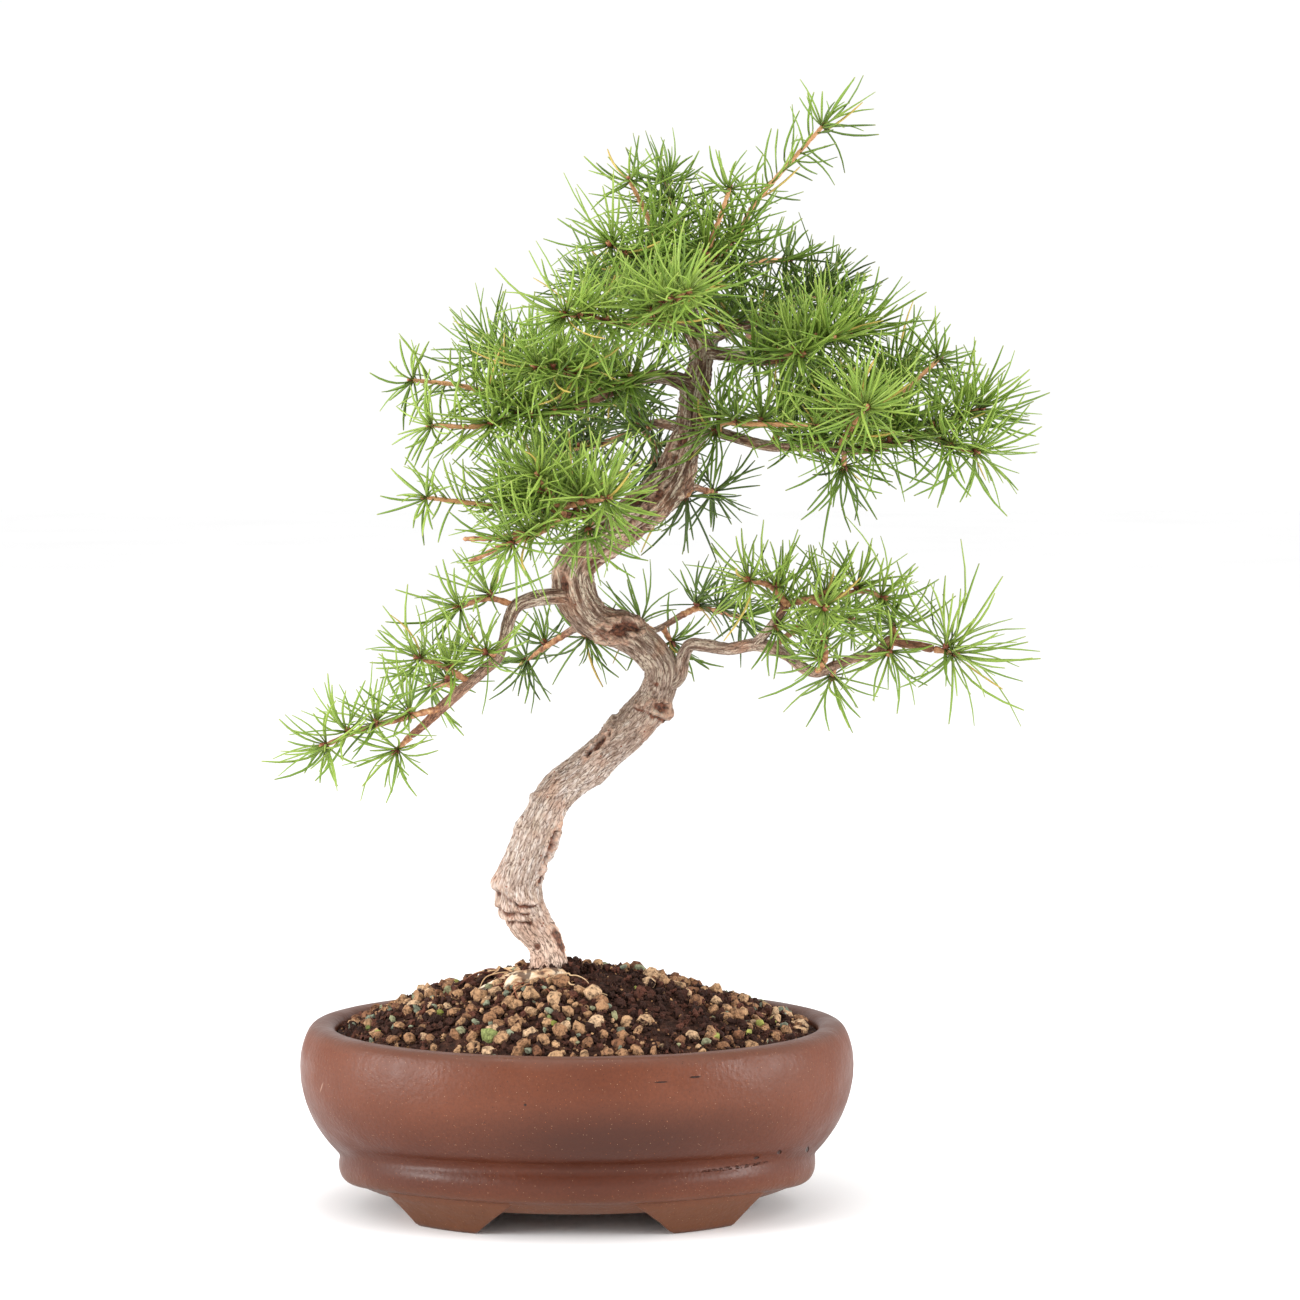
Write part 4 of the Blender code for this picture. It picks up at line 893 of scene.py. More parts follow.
def scatter(rng, count, patches):
    """Places all over the mound, thinned where a slow noise is low, and clear of the trunk and the root."""
    share = np.sqrt(rng.uniform(0.0, 1.0, count)) * OUTERMOST_SHARE
    angle = rng.uniform(0.0, 2 * math.pi, count)
    x = SOIL_MOUTH * share * np.cos(angle)
    y = SOIL_MOUTH * share * np.sin(angle) * POT_DEPTH_SHARE
    places = on_mound(x, y)
    slow = noise(places * (PATCH_SCALE, PATCH_SCALE, 0.0))
    wanted = slow + MORE_OUTSIDE * (share - 0.50) > patches + rng.normal(0.0, PATCH_BLUR, count)
    by_trunk = np.hypot(x - TRUNK_FOOT[0], y - TRUNK_FOOT[1]) <= TRUNK_CLEAR
    (root_x, root_y), (half_length, half_width) = WORN_ROOT_PLACE, WORN_ROOT_SIZE
    by_root = np.hypot((x - root_x) / half_length, (y - root_y) / half_width) < 1.0
    return places[wanted & ~by_trunk & ~by_root]


def spaced(places, sizes, room):
    """The numbers of the places that are left when each keeps clear of those before it."""
    kept = []
    for i, place in enumerate(places):
        apart = np.linalg.norm(places[kept] - place, axis=1)
        if (apart > (sizes[kept] + sizes[i]) * room).all():
            kept.append(i)
    return kept


print("places for a thousand throws:", len(scatter(np.random.default_rng(0), 1000, -0.9)))

# %% Throw the grains
MANY_SMALL = 1.7


def grain_piece(name, rng, places, sizes, rise, flatness=0.7, crumble=0.05, fine=False):
    """One piece of all the grains, lifted by a share of their size so that they lie half sunk."""
    rings, sides = (1, 4) if fine else (GRAIN_RINGS, GRAIN_SIDES)
    inward = 1.0 - sizes / SOIL_MOUTH
    places = places * np.stack([inward, inward, np.ones(len(places))], -1)
    places[:, 2] += sizes * rise
    points = grain_points(rng, places, sizes, flatness, crumble, unit_ball(rings, sides))
    each = points.shape[1]
    piece = make_piece(name, points.reshape(-1, 3) + POT_CENTRE, *copies(rings, sides, each, len(places)))
    piece.data.shade_flat()
    store(piece, "tone", np.repeat(rng.uniform(0.0, 1.0, len(places)), each))
    print(name, len(places), "grains")
    return piece


def thrown(name, seed, count, least, most, room, patches, **shape):
    """Grains of sizes between the least and the most, with small ones much more common."""
    rng = np.random.default_rng(seed)
    places = scatter(rng, count, patches)
    sizes = np.sort(least + (most - least) * rng.uniform(0.0, 1.0, len(places)) ** MANY_SMALL)[::-1]
    kept = spaced(places, sizes, room)
    return grain_piece(name, rng, places[kept], sizes[kept], **shape)


PUMICE = thrown("soil_pumice", 21, 2800, least=0.0009, most=0.0043, room=0.74, patches=-0.06, rise=0.34)
STONE = thrown("soil_stone", 22, 165, least=0.0013, most=0.0029, room=0.85, patches=-0.3, rise=0.8,
               flatness=0.3)
PEAT = thrown("soil_peat", 23, 4200, least=0.0005, most=0.0026, room=0.46, patches=-0.9, rise=0.42,
              flatness=0.45, crumble=0.55)
FINES = thrown("soil_fines", 24, 3000, least=0.0003, most=0.0010, room=0.4, patches=-0.9, rise=1.6,
               flatness=0.4, crumble=0.3, fine=True)

# %% [markdown]
# Three things are placed as in the photograph: crumbs of peat that cling round the foot of the
# trunk, one large grain grown over with light-green moss, and yellow-green chips of old needles.

# %% Clinging crumbs, moss and chips
CLINGING = 150
CLING_RING = (0.0088, 0.0135)
CLING_CLIMB = 0.0036
CLING_SIZES = (0.0006, 0.0019)


def clinging_crumbs():
    """Crumbs in a ring round the trunk's foot, most of them low and a few up on the bark."""
    rng = np.random.default_rng(31)
    angle = rng.uniform(0.0, 2 * math.pi, CLINGING)
    out = rng.uniform(*CLING_RING, CLINGING)
    x, y = TRUNK_FOOT[0] + out * np.cos(angle), TRUNK_FOOT[1] + out * np.sin(angle)
    places = on_mound(x, y, CLING_CLIMB * rng.uniform(0.0, 1.0, CLINGING) ** 2)
    sizes = rng.uniform(*CLING_SIZES, CLINGING)
    return grain_piece("soil_foot_crumbs", rng, places, sizes, rise=0.3, flatness=0.5, crumble=0.45)


def by_eye(name, seed, spots, **shape):
    """Grains at given spots: (x, y, half-size)."""
    x, y, sizes = np.array(spots).T
    return grain_piece(name, np.random.default_rng(seed), on_mound(x, y), sizes, **shape)


CRUMBS = clinging_crumbs()
MOSS_SPOTS = metres([(-33.5, -59, 4.9), (-83, -18, 1.6), (-10, -48, 1.2)])
CHIP_SPOTS = metres([
    (74, -25, 3), (56, -48, 3), (-33, -44, 2.1), (80, -12, 2.6), (-79, -30, 2.2), (69, -38, 2.2),
    (-8, -52, 1.8), (-54, -30, 2), (24, -20, 2), (70, 14, 2.6), (-50, 22, 2), (10, 42, 2.2),
])
MOSS = by_eye("soil_moss", 4, MOSS_SPOTS, rise=0.65, crumble=0.10)
CHIPS = by_eye("soil_chips", 6, CHIP_SPOTS, rise=0.8, flatness=0.15)

# %% [markdown]
# Pumice is tan and pitted. Peat is almost black, fibrous and dull. The stone is a weathered grey-green. Each
# grain carries a random tone from 0 to 1, which shifts its colour, and the pits are a fine bump.

# %% Soil finishes
def grain_finish(name, pit_scale, pit_depth, dark_mottle, *stops):
    """A grain's own colour from its tone, darker where a fine noise is low."""
    grain = Finish(name, roughness=0.9)
    tint = grain.steps(grain.stored("tone"), *stops)
    mottle = grain.noise(pit_scale, 4.0, rough=0.65)
    tint = grain.over(tint, grain.steps(mottle, (0.38, dark_mottle), (0.56, 0.0)), 44, 28, 20)
    grain.bump((grain.noise(pit_scale * 1.6, 3.0), pit_depth))
    return grain.use(Base_Color=tint, Specular_IOR_Level=0.25)


GRAIN_FINISHES = {
    "pumice": (620.0, 0.0009, 0.75, (0.0, 122, 80, 56), (0.35, 164, 122, 88), (0.75, 190, 150, 112),
               (1.0, 212, 178, 142)),
    "stone": (600.0, 0.0005, 0.6, (0.0, 100, 104, 88), (0.5, 134, 142, 122), (1.0, 154, 152, 114)),
    "peat": (700.0, 0.0010, 0.7, (0.0, 44, 24, 18), (0.6, 70, 40, 30), (1.0, 104, 62, 48)),
    "soil_dust": (900.0, 0.0002, 0.4, (0.0, 48, 29, 21), (0.72, 80, 50, 37), (0.86, 138, 98, 64),
                  (1.0, 182, 142, 102)),
    "moss": (800.0, 0.0010, 0.5, (0.0, 112, 122, 66), (1.0, 148, 158, 96)),
    "needle_chips": (700.0, 0.0004, 0.4, (0.0, 112, 116, 48), (1.0, 158, 160, 84)),
}
for name, look in GRAIN_FINISHES.items():
    GRAIN_FINISHES[name] = grain_finish(name, *look)


def bed_finish():
    """Dark peat in three browns, darker than the peat grains as painted shade in the gaps between them, with a
    coarse crumb as its bump.
    """
    bed = Finish("shaded_peat_bed", roughness=0.95)
    # Partly the peat's own colour, partly painted shade: the bed is seen mostly in the gaps between the
    # grains.
    tint = bed.steps(bed.noise(260.0, 5.0), (0.30, 32, 19, 14), (0.55, 60, 37, 28),
                     (0.75, 98, 63, 46))
    bed.bump((bed.noise(700.0, 4.0), 0.0012))
    return bed.use(Base_Color=tint, Specular_IOR_Level=0.2)


dress(soil, bed_finish())
for piece, finish in ((PUMICE, "pumice"), (STONE, "stone"), (PEAT, "peat"), (FINES, "soil_dust"),
                      (CRUMBS, "peat"), (MOSS, "moss"), (CHIPS, "needle_chips")):
    dress(piece, GRAIN_FINISHES[finish])
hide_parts("soil")

# %% [markdown]
# ## The tree
#
# Every length of wood is a route of points, each with the radius of the wood there. They are the same
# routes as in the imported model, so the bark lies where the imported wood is. Lengths are in millimetres from
# the middle of the pot's foot. The first route is the trunk, from the root ball to the leading shoot.

# %% Routes of the trunk and roots
TRUNK = metres([
    (-10, 3, 36, 3), (-10, 3, 54, 6.5), (-11, 2, 72, 9.2), (-12, 2, 87, 9.8), (-11, 1, 95, 8),
    (-13, 0, 104, 6.9), (-18, -2, 113, 7.9), (-22, -3, 121, 8.7), (-23, -4, 129, 9.1), (-20, -4, 138, 8.7),
    (-17, -3, 146, 8.3), (-14, -1, 154, 7.7), (-9, 2, 163, 7.5), (4, 6, 174, 7.3), (19, 9, 187, 7.5),
    (27, 10, 196, 7.5), (32, 10, 205, 6.9), (33, 8, 213, 6.7), (28, 6, 221, 6.7), (19, 3, 228, 6.9),
    (6, 0, 234, 7.3), (0, -3, 244, 7.9), (-1, -5, 253, 7.7), (3, -5, 260, 7.9), (11, -3, 266, 8.3),
    (20, 0, 272, 8.3), (30, 3, 279, 8.5), (38, 5, 289, 7.5), (42, 5, 299, 6.3), (46, 4, 309, 6.1),
    (46, 2, 319, 5.9), (47, 0, 326, 5.7), (49, -2, 334, 4.8), (49, -3, 341, 4.3), (45, -4, 349, 3.8),
    (44, -4, 357, 3.2), (47, -3, 366, 2.6), (51, -2, 371, 2.2),
])
ROOTS = [metres(route) for route in (
    [(-13, 1, 92, 4.2), (-24, -1, 91, 3.2), (-34, -4, 86, 2.4), (-46, -8, 76, 1.8), (-58, -12, 62, 1.2)],
    [(-13, -2, 91, 3.8), (-21, -12, 89, 3), (-29, -21, 83, 2.2), (-38, -32, 70, 1.5)],
    [(-8, 1, 90, 4), (3, -3, 88, 3.2), (14, -6, 82, 2.4), (28, -10, 69, 1.5)],
    [(-8, 5, 90, 4), (2, 15, 87, 3), (12, 26, 79, 2.2), (22, 38, 66, 1.5)],
    [(-14, 6, 90, 3.8), (-22, 17, 87, 3), (-32, 28, 80, 2), (-44, 38, 67, 1.4)],
    [(-10, -3, 90, 3.6), (-7, -14, 86, 2.8), (-4, -26, 78, 2), (0, -38, 64, 1.4)],
)]
print("trunk points:", len(TRUNK), "roots:", len(ROOTS))

# %% [markdown]
# The branches are named for where they stand as seen from the front. Each starts inside the trunk, or
# inside a larger branch, so the two grow together with no gap.

# %% Routes of the branches
BRANCHES = {name: metres(route) for name, route in {
    "lower_left": [
        (0, -3, 242, 3.2), (-9, -10, 243, 3.2), (-18, -16, 242, 3), (-23, -19, 240, 2.8),
        (-26, -22, 234, 2.6), (-28, -24, 226, 2.4), (-30, -25, 221, 2.8), (-36, -27, 215, 2.4),
        (-44, -29, 208, 2.2), (-52, -31, 201, 2), (-58, -30, 195, 1.7), (-64, -31, 190, 1.5),
    ],
    "lower_left_rear": [(9, 2, 231, 2.2), (0, 14, 229, 1.8), (-6, 24, 225, 1.4)],
    "lower_right": [
        (35, 8, 207, 3.2), (40, 7, 211, 3.2), (42, 6, 218, 2.8), (45, 4, 223, 2.6), (50, 2, 223, 2.6),
        (60, -3, 222, 2.4), (70, -8, 224, 2.4), (77, -12, 223, 2.6), (83, -14, 220, 2.2),
        (90, -18, 215, 2.4), (94, -20, 214, 2.2), (101, -21, 217, 2), (109, -23, 220, 1.8),
        (117, -24, 222, 1.8), (123, -25, 227, 2), (127, -26, 226, 1.6), (134, -28, 225, 1.8),
        (139, -30, 224, 2),
    ],
    "lower_right_rise": [(70, -8, 224, 2), (75, -14, 230, 1.8), (79, -20, 236, 1.6), (82, -24, 241, 1.4)],
    "low_rear": [(25, 6, 226, 2), (29, 20, 227, 1.4), (34, 32, 228, 1.3), (42, 44, 232, 1.2)],
    "mid_left": [(25, 0, 276, 2.8), (17, -16, 276, 2.4), (7, -32, 276, 2.2), (-4, -46, 277, 2)],
    "upper_left": [
        (47, 0, 324, 3.6), (38, -6, 328, 3.2), (30, -12, 329, 2.6), (20, -20, 326, 2.4),
        (10, -28, 322, 2.2), (-2, -34, 317, 2), (-13, -40, 315, 1.8),
    ],
    "rear_left": [(44, 5, 308, 2.4), (33, 18, 310, 2), (26, 30, 308, 1.8), (18, 42, 304, 1.6)],
    "upper_right": [
        (49, -2, 339, 2.8), (56, -6, 338, 2.6), (63, -12, 337, 2.4), (71, -18, 335, 2.2), (81, -26, 337, 2),
    ],
    "rear_right": [(49, -3, 341, 2.4), (57, 12, 345, 2), (68, 26, 349, 1.8), (79, 38, 352, 1.6)],
    "right": [
        (47, 4, 310, 2.8), (53, 0, 308, 2.4), (63, -8, 305, 2.4), (76, -16, 302, 2.2), (87, -22, 302, 2),
        (99, -26, 302, 2), (109, -28, 301, 1.8), (120, -30, 303, 1.6), (131, -30, 306, 1.4),
    ],
    "rear_low": [(42, 6, 286, 2), (46, 18, 285, 1.6), (51, 26, 283, 1.2)],
    "crown_front": [(45, -4, 348, 2.4), (37, -24, 349, 1.8), (27, -44, 350, 1.6)],
    "crown_left": [(44, -4, 359, 2), (38, -5, 365, 1.6), (31, -6, 372, 1.4)],
}.items()}
print("branches:", len(BRANCHES))

# %% [markdown]
# Larch bark is grey, splits into fine lengthwise cracks, and lifts in small flakes. The cracks follow the
# wood, so they are worked out in coordinates that run along it: round the trunk at full scale, and along
# it at a third, which draws every mark out three times longer than wide.

# %% Bark along a route
GRAIN_DRAWN_OUT = 3
COLLAR_LENGTH = 0.0035
GNARLED_FROM = 0.235
GNARLED_OVER = 0.03
MORE_LUMPS, MORE_CRACKS = 0.8, 0.9
BULGES = ((95.0, 95.0, 190.0), 0.10)
SWELLINGS = (300.0, 0.075)
FLAKES = ((1100.0, 1100.0, 2200.0), 0.45)
CRACK_SCALE = 620.0
CRACK_BREADTH = 0.22
YOUNG_FROM, YOUNG_OVER = 0.45, 0.45
END_REACH = 0.0002


def wood_frames(centres, facing):
    """Frames along the wood. With facing, the front of every ring turns to the viewer."""
    ahead, front, side = frames_along(centres)
    if facing:
        front = unit(np.array([0.0, -1.0, 0.0]) + ahead * ahead[:, 1:2])
        side = np.cross(ahead, front)
    return ahead, front, side


def bark_tube(pile, route, sides, step, seed, cracks, collar=0.0, marks=(), facing=False):
    """Rings of radius r + lumps - cracks + marks. A crack is the thin line on which a noise is near 0."""
    path = smooth_route(route, step)
    along = lengths_along(path)
    angle = angles_round(sides)
    radius = path[:, 3] * (1.0 + collar * np.exp(-along / COLLAR_LENGTH))
    radius = rounded_ends(along, radius)[:, None] + 0.0 * angle
    lengthwise = along[:, None] / GRAIN_DRAWN_OUT + 0 * angle
    grain = np.stack([radius * np.cos(angle), radius * np.sin(angle), lengthwise], -1) + seed
    upper = facing * np.clip((path[:, 2:3] - GNARLED_FROM) / GNARLED_OVER, 0.0, 1.0)
    lumps = BULGES[1] * noise(grain * BULGES[0]) + SWELLINGS[1] * noise(grain * SWELLINGS[0])
    lumps = lumps * radius * (1.0 + MORE_LUMPS * upper)
    cracks = cracks * (1.0 + MORE_CRACKS * upper)
    line = np.minimum(np.abs(rough(grain * CRACK_SCALE, 3)) / CRACK_BREADTH, 1.0)
    crack = (1.0 - line) * (0.65 + 0.35 * noise(grain * 200.0))
    flaky = FLAKES[1] * cracks * noise(grain * FLAKES[0])
    wound, pale = np.zeros_like(radius), np.zeros_like(radius)
    relief = lumps - crack * cracks + flaky
    for mark in marks:
        push, dark, light = mark(along[:, None], angle, radius)
        relief = relief + push
        wound, pale = np.maximum(wound, dark), np.maximum(pale, light)
    centres, rings = path[:, :3], radius + relief
    ahead, front, side = wood_frames(centres, facing)
    points = centres[:, None] + rings[..., None] * ways_round(angle, front, side)
    ends = np.stack([points[0].mean(0) - ahead[0] * END_REACH, points[-1].mean(0) + ahead[-1] * END_REACH])
    young = np.clip((along / along[-1] - YOUNG_FROM) / YOUNG_OVER, 0.0, 1.0)
    young = young[:, None] * (collar > 0.0) + 0.0 * angle
    stored = {"crack": crack, "wound": wound, "pale": pale, "young": young, "grain": grain}
    for name, values in stored.items():
        flat = values.reshape(-1, 3) if values.ndim == 3 else values.ravel()
        stored[name] = np.concatenate([flat, values[[0, -1]].mean(1)])
    pile.add(np.concatenate([points.reshape(-1, 3), ends]) + POT_CENTRE, *closed(len(path), sides), **stored)


print("bark tools are ready")

# %% [markdown]
# The trunk's own history is written in its scars. Three folds of swollen bark, each with a slit under it,
# stand above the foot. A long wound runs up its right side, and round cuts show where branches came off.
# A mark is a small rule that gives, at each place, how far the bark is pushed out, how dark the scar is
# inside, partly its own colour and partly painted shade in its hollow or under its fold, and how pale its
# rim. Places are millimetres along the trunk and degrees round it, from the viewer's side.

# %% Rules for marks
def turned_by(angle, middle):
    """The angle from the middle of a mark, from -180 to 180 degrees, in radians."""
    return (angle - math.radians(middle) + math.pi) % (2 * math.pi) - math.pi


def oval_mark(along_mm, degrees, length_mm, width_mm, sunk_mm, rim_mm, dark=1.0, lean=0.0):
    """An oval hollow with a raised rim: q is 1 on the rim, and the lean slants the oval. The darkness it
    gives is partly the mark's own colour and partly painted shade in the hollow.
    """
    def mark(along, angle, radius):
        ahead = (along - along_mm / 1000) * 1000
        round_way = turned_by(angle, degrees) * radius * 1000
        ahead = ahead + lean * round_way
        q = np.hypot(ahead / length_mm, round_way / width_mm)
        q = q + 0.42 * rough(np.stack(np.broadcast_arrays(ahead / 2.4, round_way / 2.4, along_mm), -1), 2)
        hollow = np.clip((1.0 - q) / 0.45, 0.0, 1.0)
        rim = np.exp(-(((q - 1.10) / 0.30) ** 2))
        push = (-sunk_mm * hollow + rim_mm * rim) / 1000
        return push, dark * np.clip((0.95 - q) / 0.45, 0.0, 1.0), rim * (rim_mm > 0.35)
    return mark


def lip_mark(at_mm, slope_mm, width_mm, out_mm, slit_mm, left, right):
    """A lip of bark across the trunk over a slit, which is painted dark as the shade under the lip. How high
    it runs falls with the sine of the angle.
    """
    def mark(along, angle, radius):
        away = turned_by(angle, 0.0)
        middle = at_mm / 1000 - slope_mm / 1000 * np.sin(away)
        from_left, from_right = away - math.radians(left), math.radians(right) - away
        ends = np.clip(from_left * 3, 0, 1) * np.clip(from_right * 3, 0, 1)
        off = (along - middle) * 1000
        around = np.cos(angle) * 4.0, np.sin(angle) * 4.0
        torn = noise(np.stack(np.broadcast_arrays(along * 300, *around), -1))
        off = off + 0.9 * torn
        lip = np.exp(-((off / np.where(off > 0, width_mm, 0.40 * width_mm)) ** 2)) * ends
        lip = lip * (1.0 + 0.5 * torn)
        slit = np.exp(-(((off + width_mm * 0.80) / (0.34 * width_mm)) ** 2)) * ends
        slit = slit * np.clip(0.95 + 0.9 * torn, 0.0, 1.0)
        return (out_mm * lip - slit_mm * slit) / 1000, slit, 0.5 * lip
    return mark


print("rules for marks are ready")

# %% The marks on the trunk
MARKS = [
    lip_mark(91.6, 4.6, 2.2, 1.6, 0.9, left=-125, right=62),
    lip_mark(86.8, 3.6, 1.9, 1.5, 0.9, left=-120, right=30),
    lip_mark(83, 3.8, 2.3, 1.5, 1.5, left=-115, right=26),
    oval_mark(114.5, 58, 9.5, 2.1, 1.5, 1.2, lean=-0.3),
    oval_mark(116.5, 92, 8, 3.4, -1.9, 0.2, dark=0),
    oval_mark(101.5, 64, 3.2, 1.5, 0.9, 0.7),
    oval_mark(69, 58, 5.6, 2.5, -1.1, 0.9, lean=0.4),
    oval_mark(71, -20, 2, 1.6, 0.4, 0.3, dark=0.7),
    oval_mark(129, -62, 3.2, 2.2, -1.5, 0.3, dark=0),
    oval_mark(118, -75, 4, 2.6, -0.9, 0.2, dark=0),
    oval_mark(160, -36, 7.5, 1.9, 0.9, 1.2, dark=0.75, lean=0.9),
    oval_mark(171, -78, 5.5, 4.5, -1.5, 0.2, dark=0),
    oval_mark(154, 78, 4.5, 3, -0.8, 0.2, dark=0),
    lip_mark(185.2, -1.5, 2, 1.1, 0.5, left=-50, right=120),
    oval_mark(188.6, 34, 2.3, 5.2, 0.8, 1.1, dark=0.95, lean=-0.1),
    oval_mark(187, 92, 3.6, 3, -1.6, 0.4, dark=0.3),
    oval_mark(198, -10, 1.6, 1.4, 0.5, 0.3, dark=0.9),
    oval_mark(226.4, 12, 4.4, 6.2, 1.3, 1.5, lean=0.6),
    oval_mark(232.5, -24, 4, 3.6, 0.3, 0.9, dark=0.55),
    oval_mark(226, 66, 5.5, 4.5, -1, 0.2, dark=0),
    oval_mark(244, 30, 5, 3, -0.9, 0.3, dark=0.1),
    oval_mark(256, -28, 4.2, 3.2, 0.5, 0.9, dark=0.6),
    oval_mark(268, 52, 6.5, 2.8, 0.5, 0.9, dark=0.45),
    oval_mark(295, -42, 8, 4.4, 2, 0.8, lean=-0.3),
    oval_mark(291, 34, 9, 3.2, 0.8, 1, dark=0.35),
    oval_mark(306, -5, 6, 2.2, 0.8, 0.7, dark=0.8, lean=0.3),
    oval_mark(316, 60, 4.5, 2.4, 0.4, 0.9, dark=0.5),
    oval_mark(328, -22, 6.5, 2.4, 0.7, 1, dark=0.7),
    oval_mark(344, 30, 3.5, 2, 0.4, 0.8, dark=0.6),
    oval_mark(150, 150, 4, 3.2, 0.6, 1.1, dark=0.8),
    oval_mark(205, 190, 5, 3, 0.8, 1.1, dark=0.8, lean=0.4),
    oval_mark(245, 170, 4.2, 3.4, 0.8, 1.1, dark=0.85),
]
print("marks on the trunk:", len(MARKS))

# %% Trunk and roots
TRUNK_TURNS = 96
ROOT_TURNS = 24


def trunk_piece():
    """The trunk with its marks, and the six roots that go down from it into the soil."""
    pile = Pile()
    bark_tube(pile, TRUNK, TRUNK_TURNS, step=0.00052, seed=0.0, cracks=0.00050, marks=MARKS, facing=True)
    for number, route in enumerate(ROOTS):
        bark_tube(pile, route, ROOT_TURNS, step=0.0009, seed=1.7 * number + 3.1, cracks=0.00022)
    return pile.piece("tree_trunk")


trunk = trunk_piece()
print("trunk triangles:", triangle_count(trunk))

# %% Branches
BRANCH_TURNS = 26


def branch_piece():
    """Each branch flares where it leaves the wood that carries it, as a collar of bark grows there."""
    pile = Pile()
    for number, route in enumerate(BRANCHES.values()):
        seed = 2.3 * number + 11.0
        bark_tube(pile, route, BRANCH_TURNS, step=0.0008, seed=seed, cracks=0.00026, collar=0.55)
    return pile.piece("tree_branches")


branches = branch_piece()
print("branch triangles:", triangle_count(branches))

# %% [markdown]
# At the foot, a thick pale root lies on the soil with its bark worn off, and thin reddish rootlets wander
# out from it over the mound. Each rootlet is a walk of short steps that keeps to the height of the soil.

# %% Roots on the soil
COLLAR_ROOTS = [metres(route) for route in (
    [
        (-4.5, -9.5, 93, 2.6), (-7.5, -13, 93.8, 2.9), (-10.5, -14.5, 94, 3.4), (-15, -15.5, 93.8, 3),
        (-19.5, -16, 93.4, 3.4), (-24, -16.5, 92.5, 2.9), (-26.5, -18, 90, 2.3), (-26.8, -20, 87.2, 1.6),
        (-26.2, -21.2, 85, 1.2),
    ],
    [
        (-15, -4, 93, 2.2), (-23.5, -8, 92.8, 2.2), (-31, -10.5, 90.5, 1.7), (-39, -12, 87, 1.2),
        (-44, -13, 83.5, 0.7),
    ],
)]
COLLAR_ROOT_TURNS = 28
ROOTLETS = 34
ROOTLET_TURNS = 6
ROOTLET_STEP = 0.002
ROOTLET_STEPS = (5, 13)
ROOTLET_HEADINGS = (2.2, 5.0)
ROOTLET_DRIFT = 0.35
ROOTLET_STARTS = (0.010, 0.020)
ROOTLET_LIFT, ROOTLET_ARCH = 0.0010, 0.0016
ROOTLET_RADII, ROOTLET_END = (0.00028, 0.0006), 0.00016


def rootlet_route(rng):
    """Steps of 2 mm whose heading drifts at random, with the height of the soil under each."""
    steps = rng.integers(*ROOTLET_STEPS)
    heading = rng.uniform(*ROOTLET_HEADINGS) + np.cumsum(rng.normal(0.0, ROOTLET_DRIFT, steps))
    start = rng.uniform(*ROOTLET_STARTS)
    x = TRUNK_FOOT[0] + start * math.cos(heading[0]) + ROOTLET_STEP * np.cumsum(np.cos(heading))
    y = TRUNK_FOOT[1] + start * math.sin(heading[0]) + ROOTLET_STEP * np.cumsum(np.sin(heading))
    arch = np.sin(np.linspace(0.0, math.pi, steps))
    rise = ROOTLET_LIFT + ROOTLET_ARCH * arch * rng.uniform(0.2, 1.3)
    thick = np.linspace(rng.uniform(*ROOTLET_RADII), ROOTLET_END, steps)
    return np.column_stack([x, y, soil_height(x, y) + rise, thick])


def root_piece():
    """The worn roots that lie on the soil."""
    pile = Pile()
    for number, route in enumerate(COLLAR_ROOTS):
        bark_tube(pile, route, COLLAR_ROOT_TURNS, step=0.0006, seed=5.1 * number + 2.0, cracks=0.00045)
    return pile.piece("tree_collar_roots")


def rootlet_piece():
    """Every rootlet is a tube on its own walk, with one tone for its whole length."""
    rng = np.random.default_rng(44)
    pile = Pile()
    for _ in range(ROOTLETS):
        path = smooth_route(rootlet_route(rng), 0.0009)
        points = tube_points(path[:, :3], path[:, 3], ROOTLET_TURNS) + POT_CENTRE
        pile.add(points, *closed(len(path), ROOTLET_TURNS), tone=rng.uniform())
    return pile.piece("tree_rootlets")


collar_roots, rootlets = root_piece(), rootlet_piece()
print("root triangles:", triangle_count(collar_roots), triangle_count(rootlets))
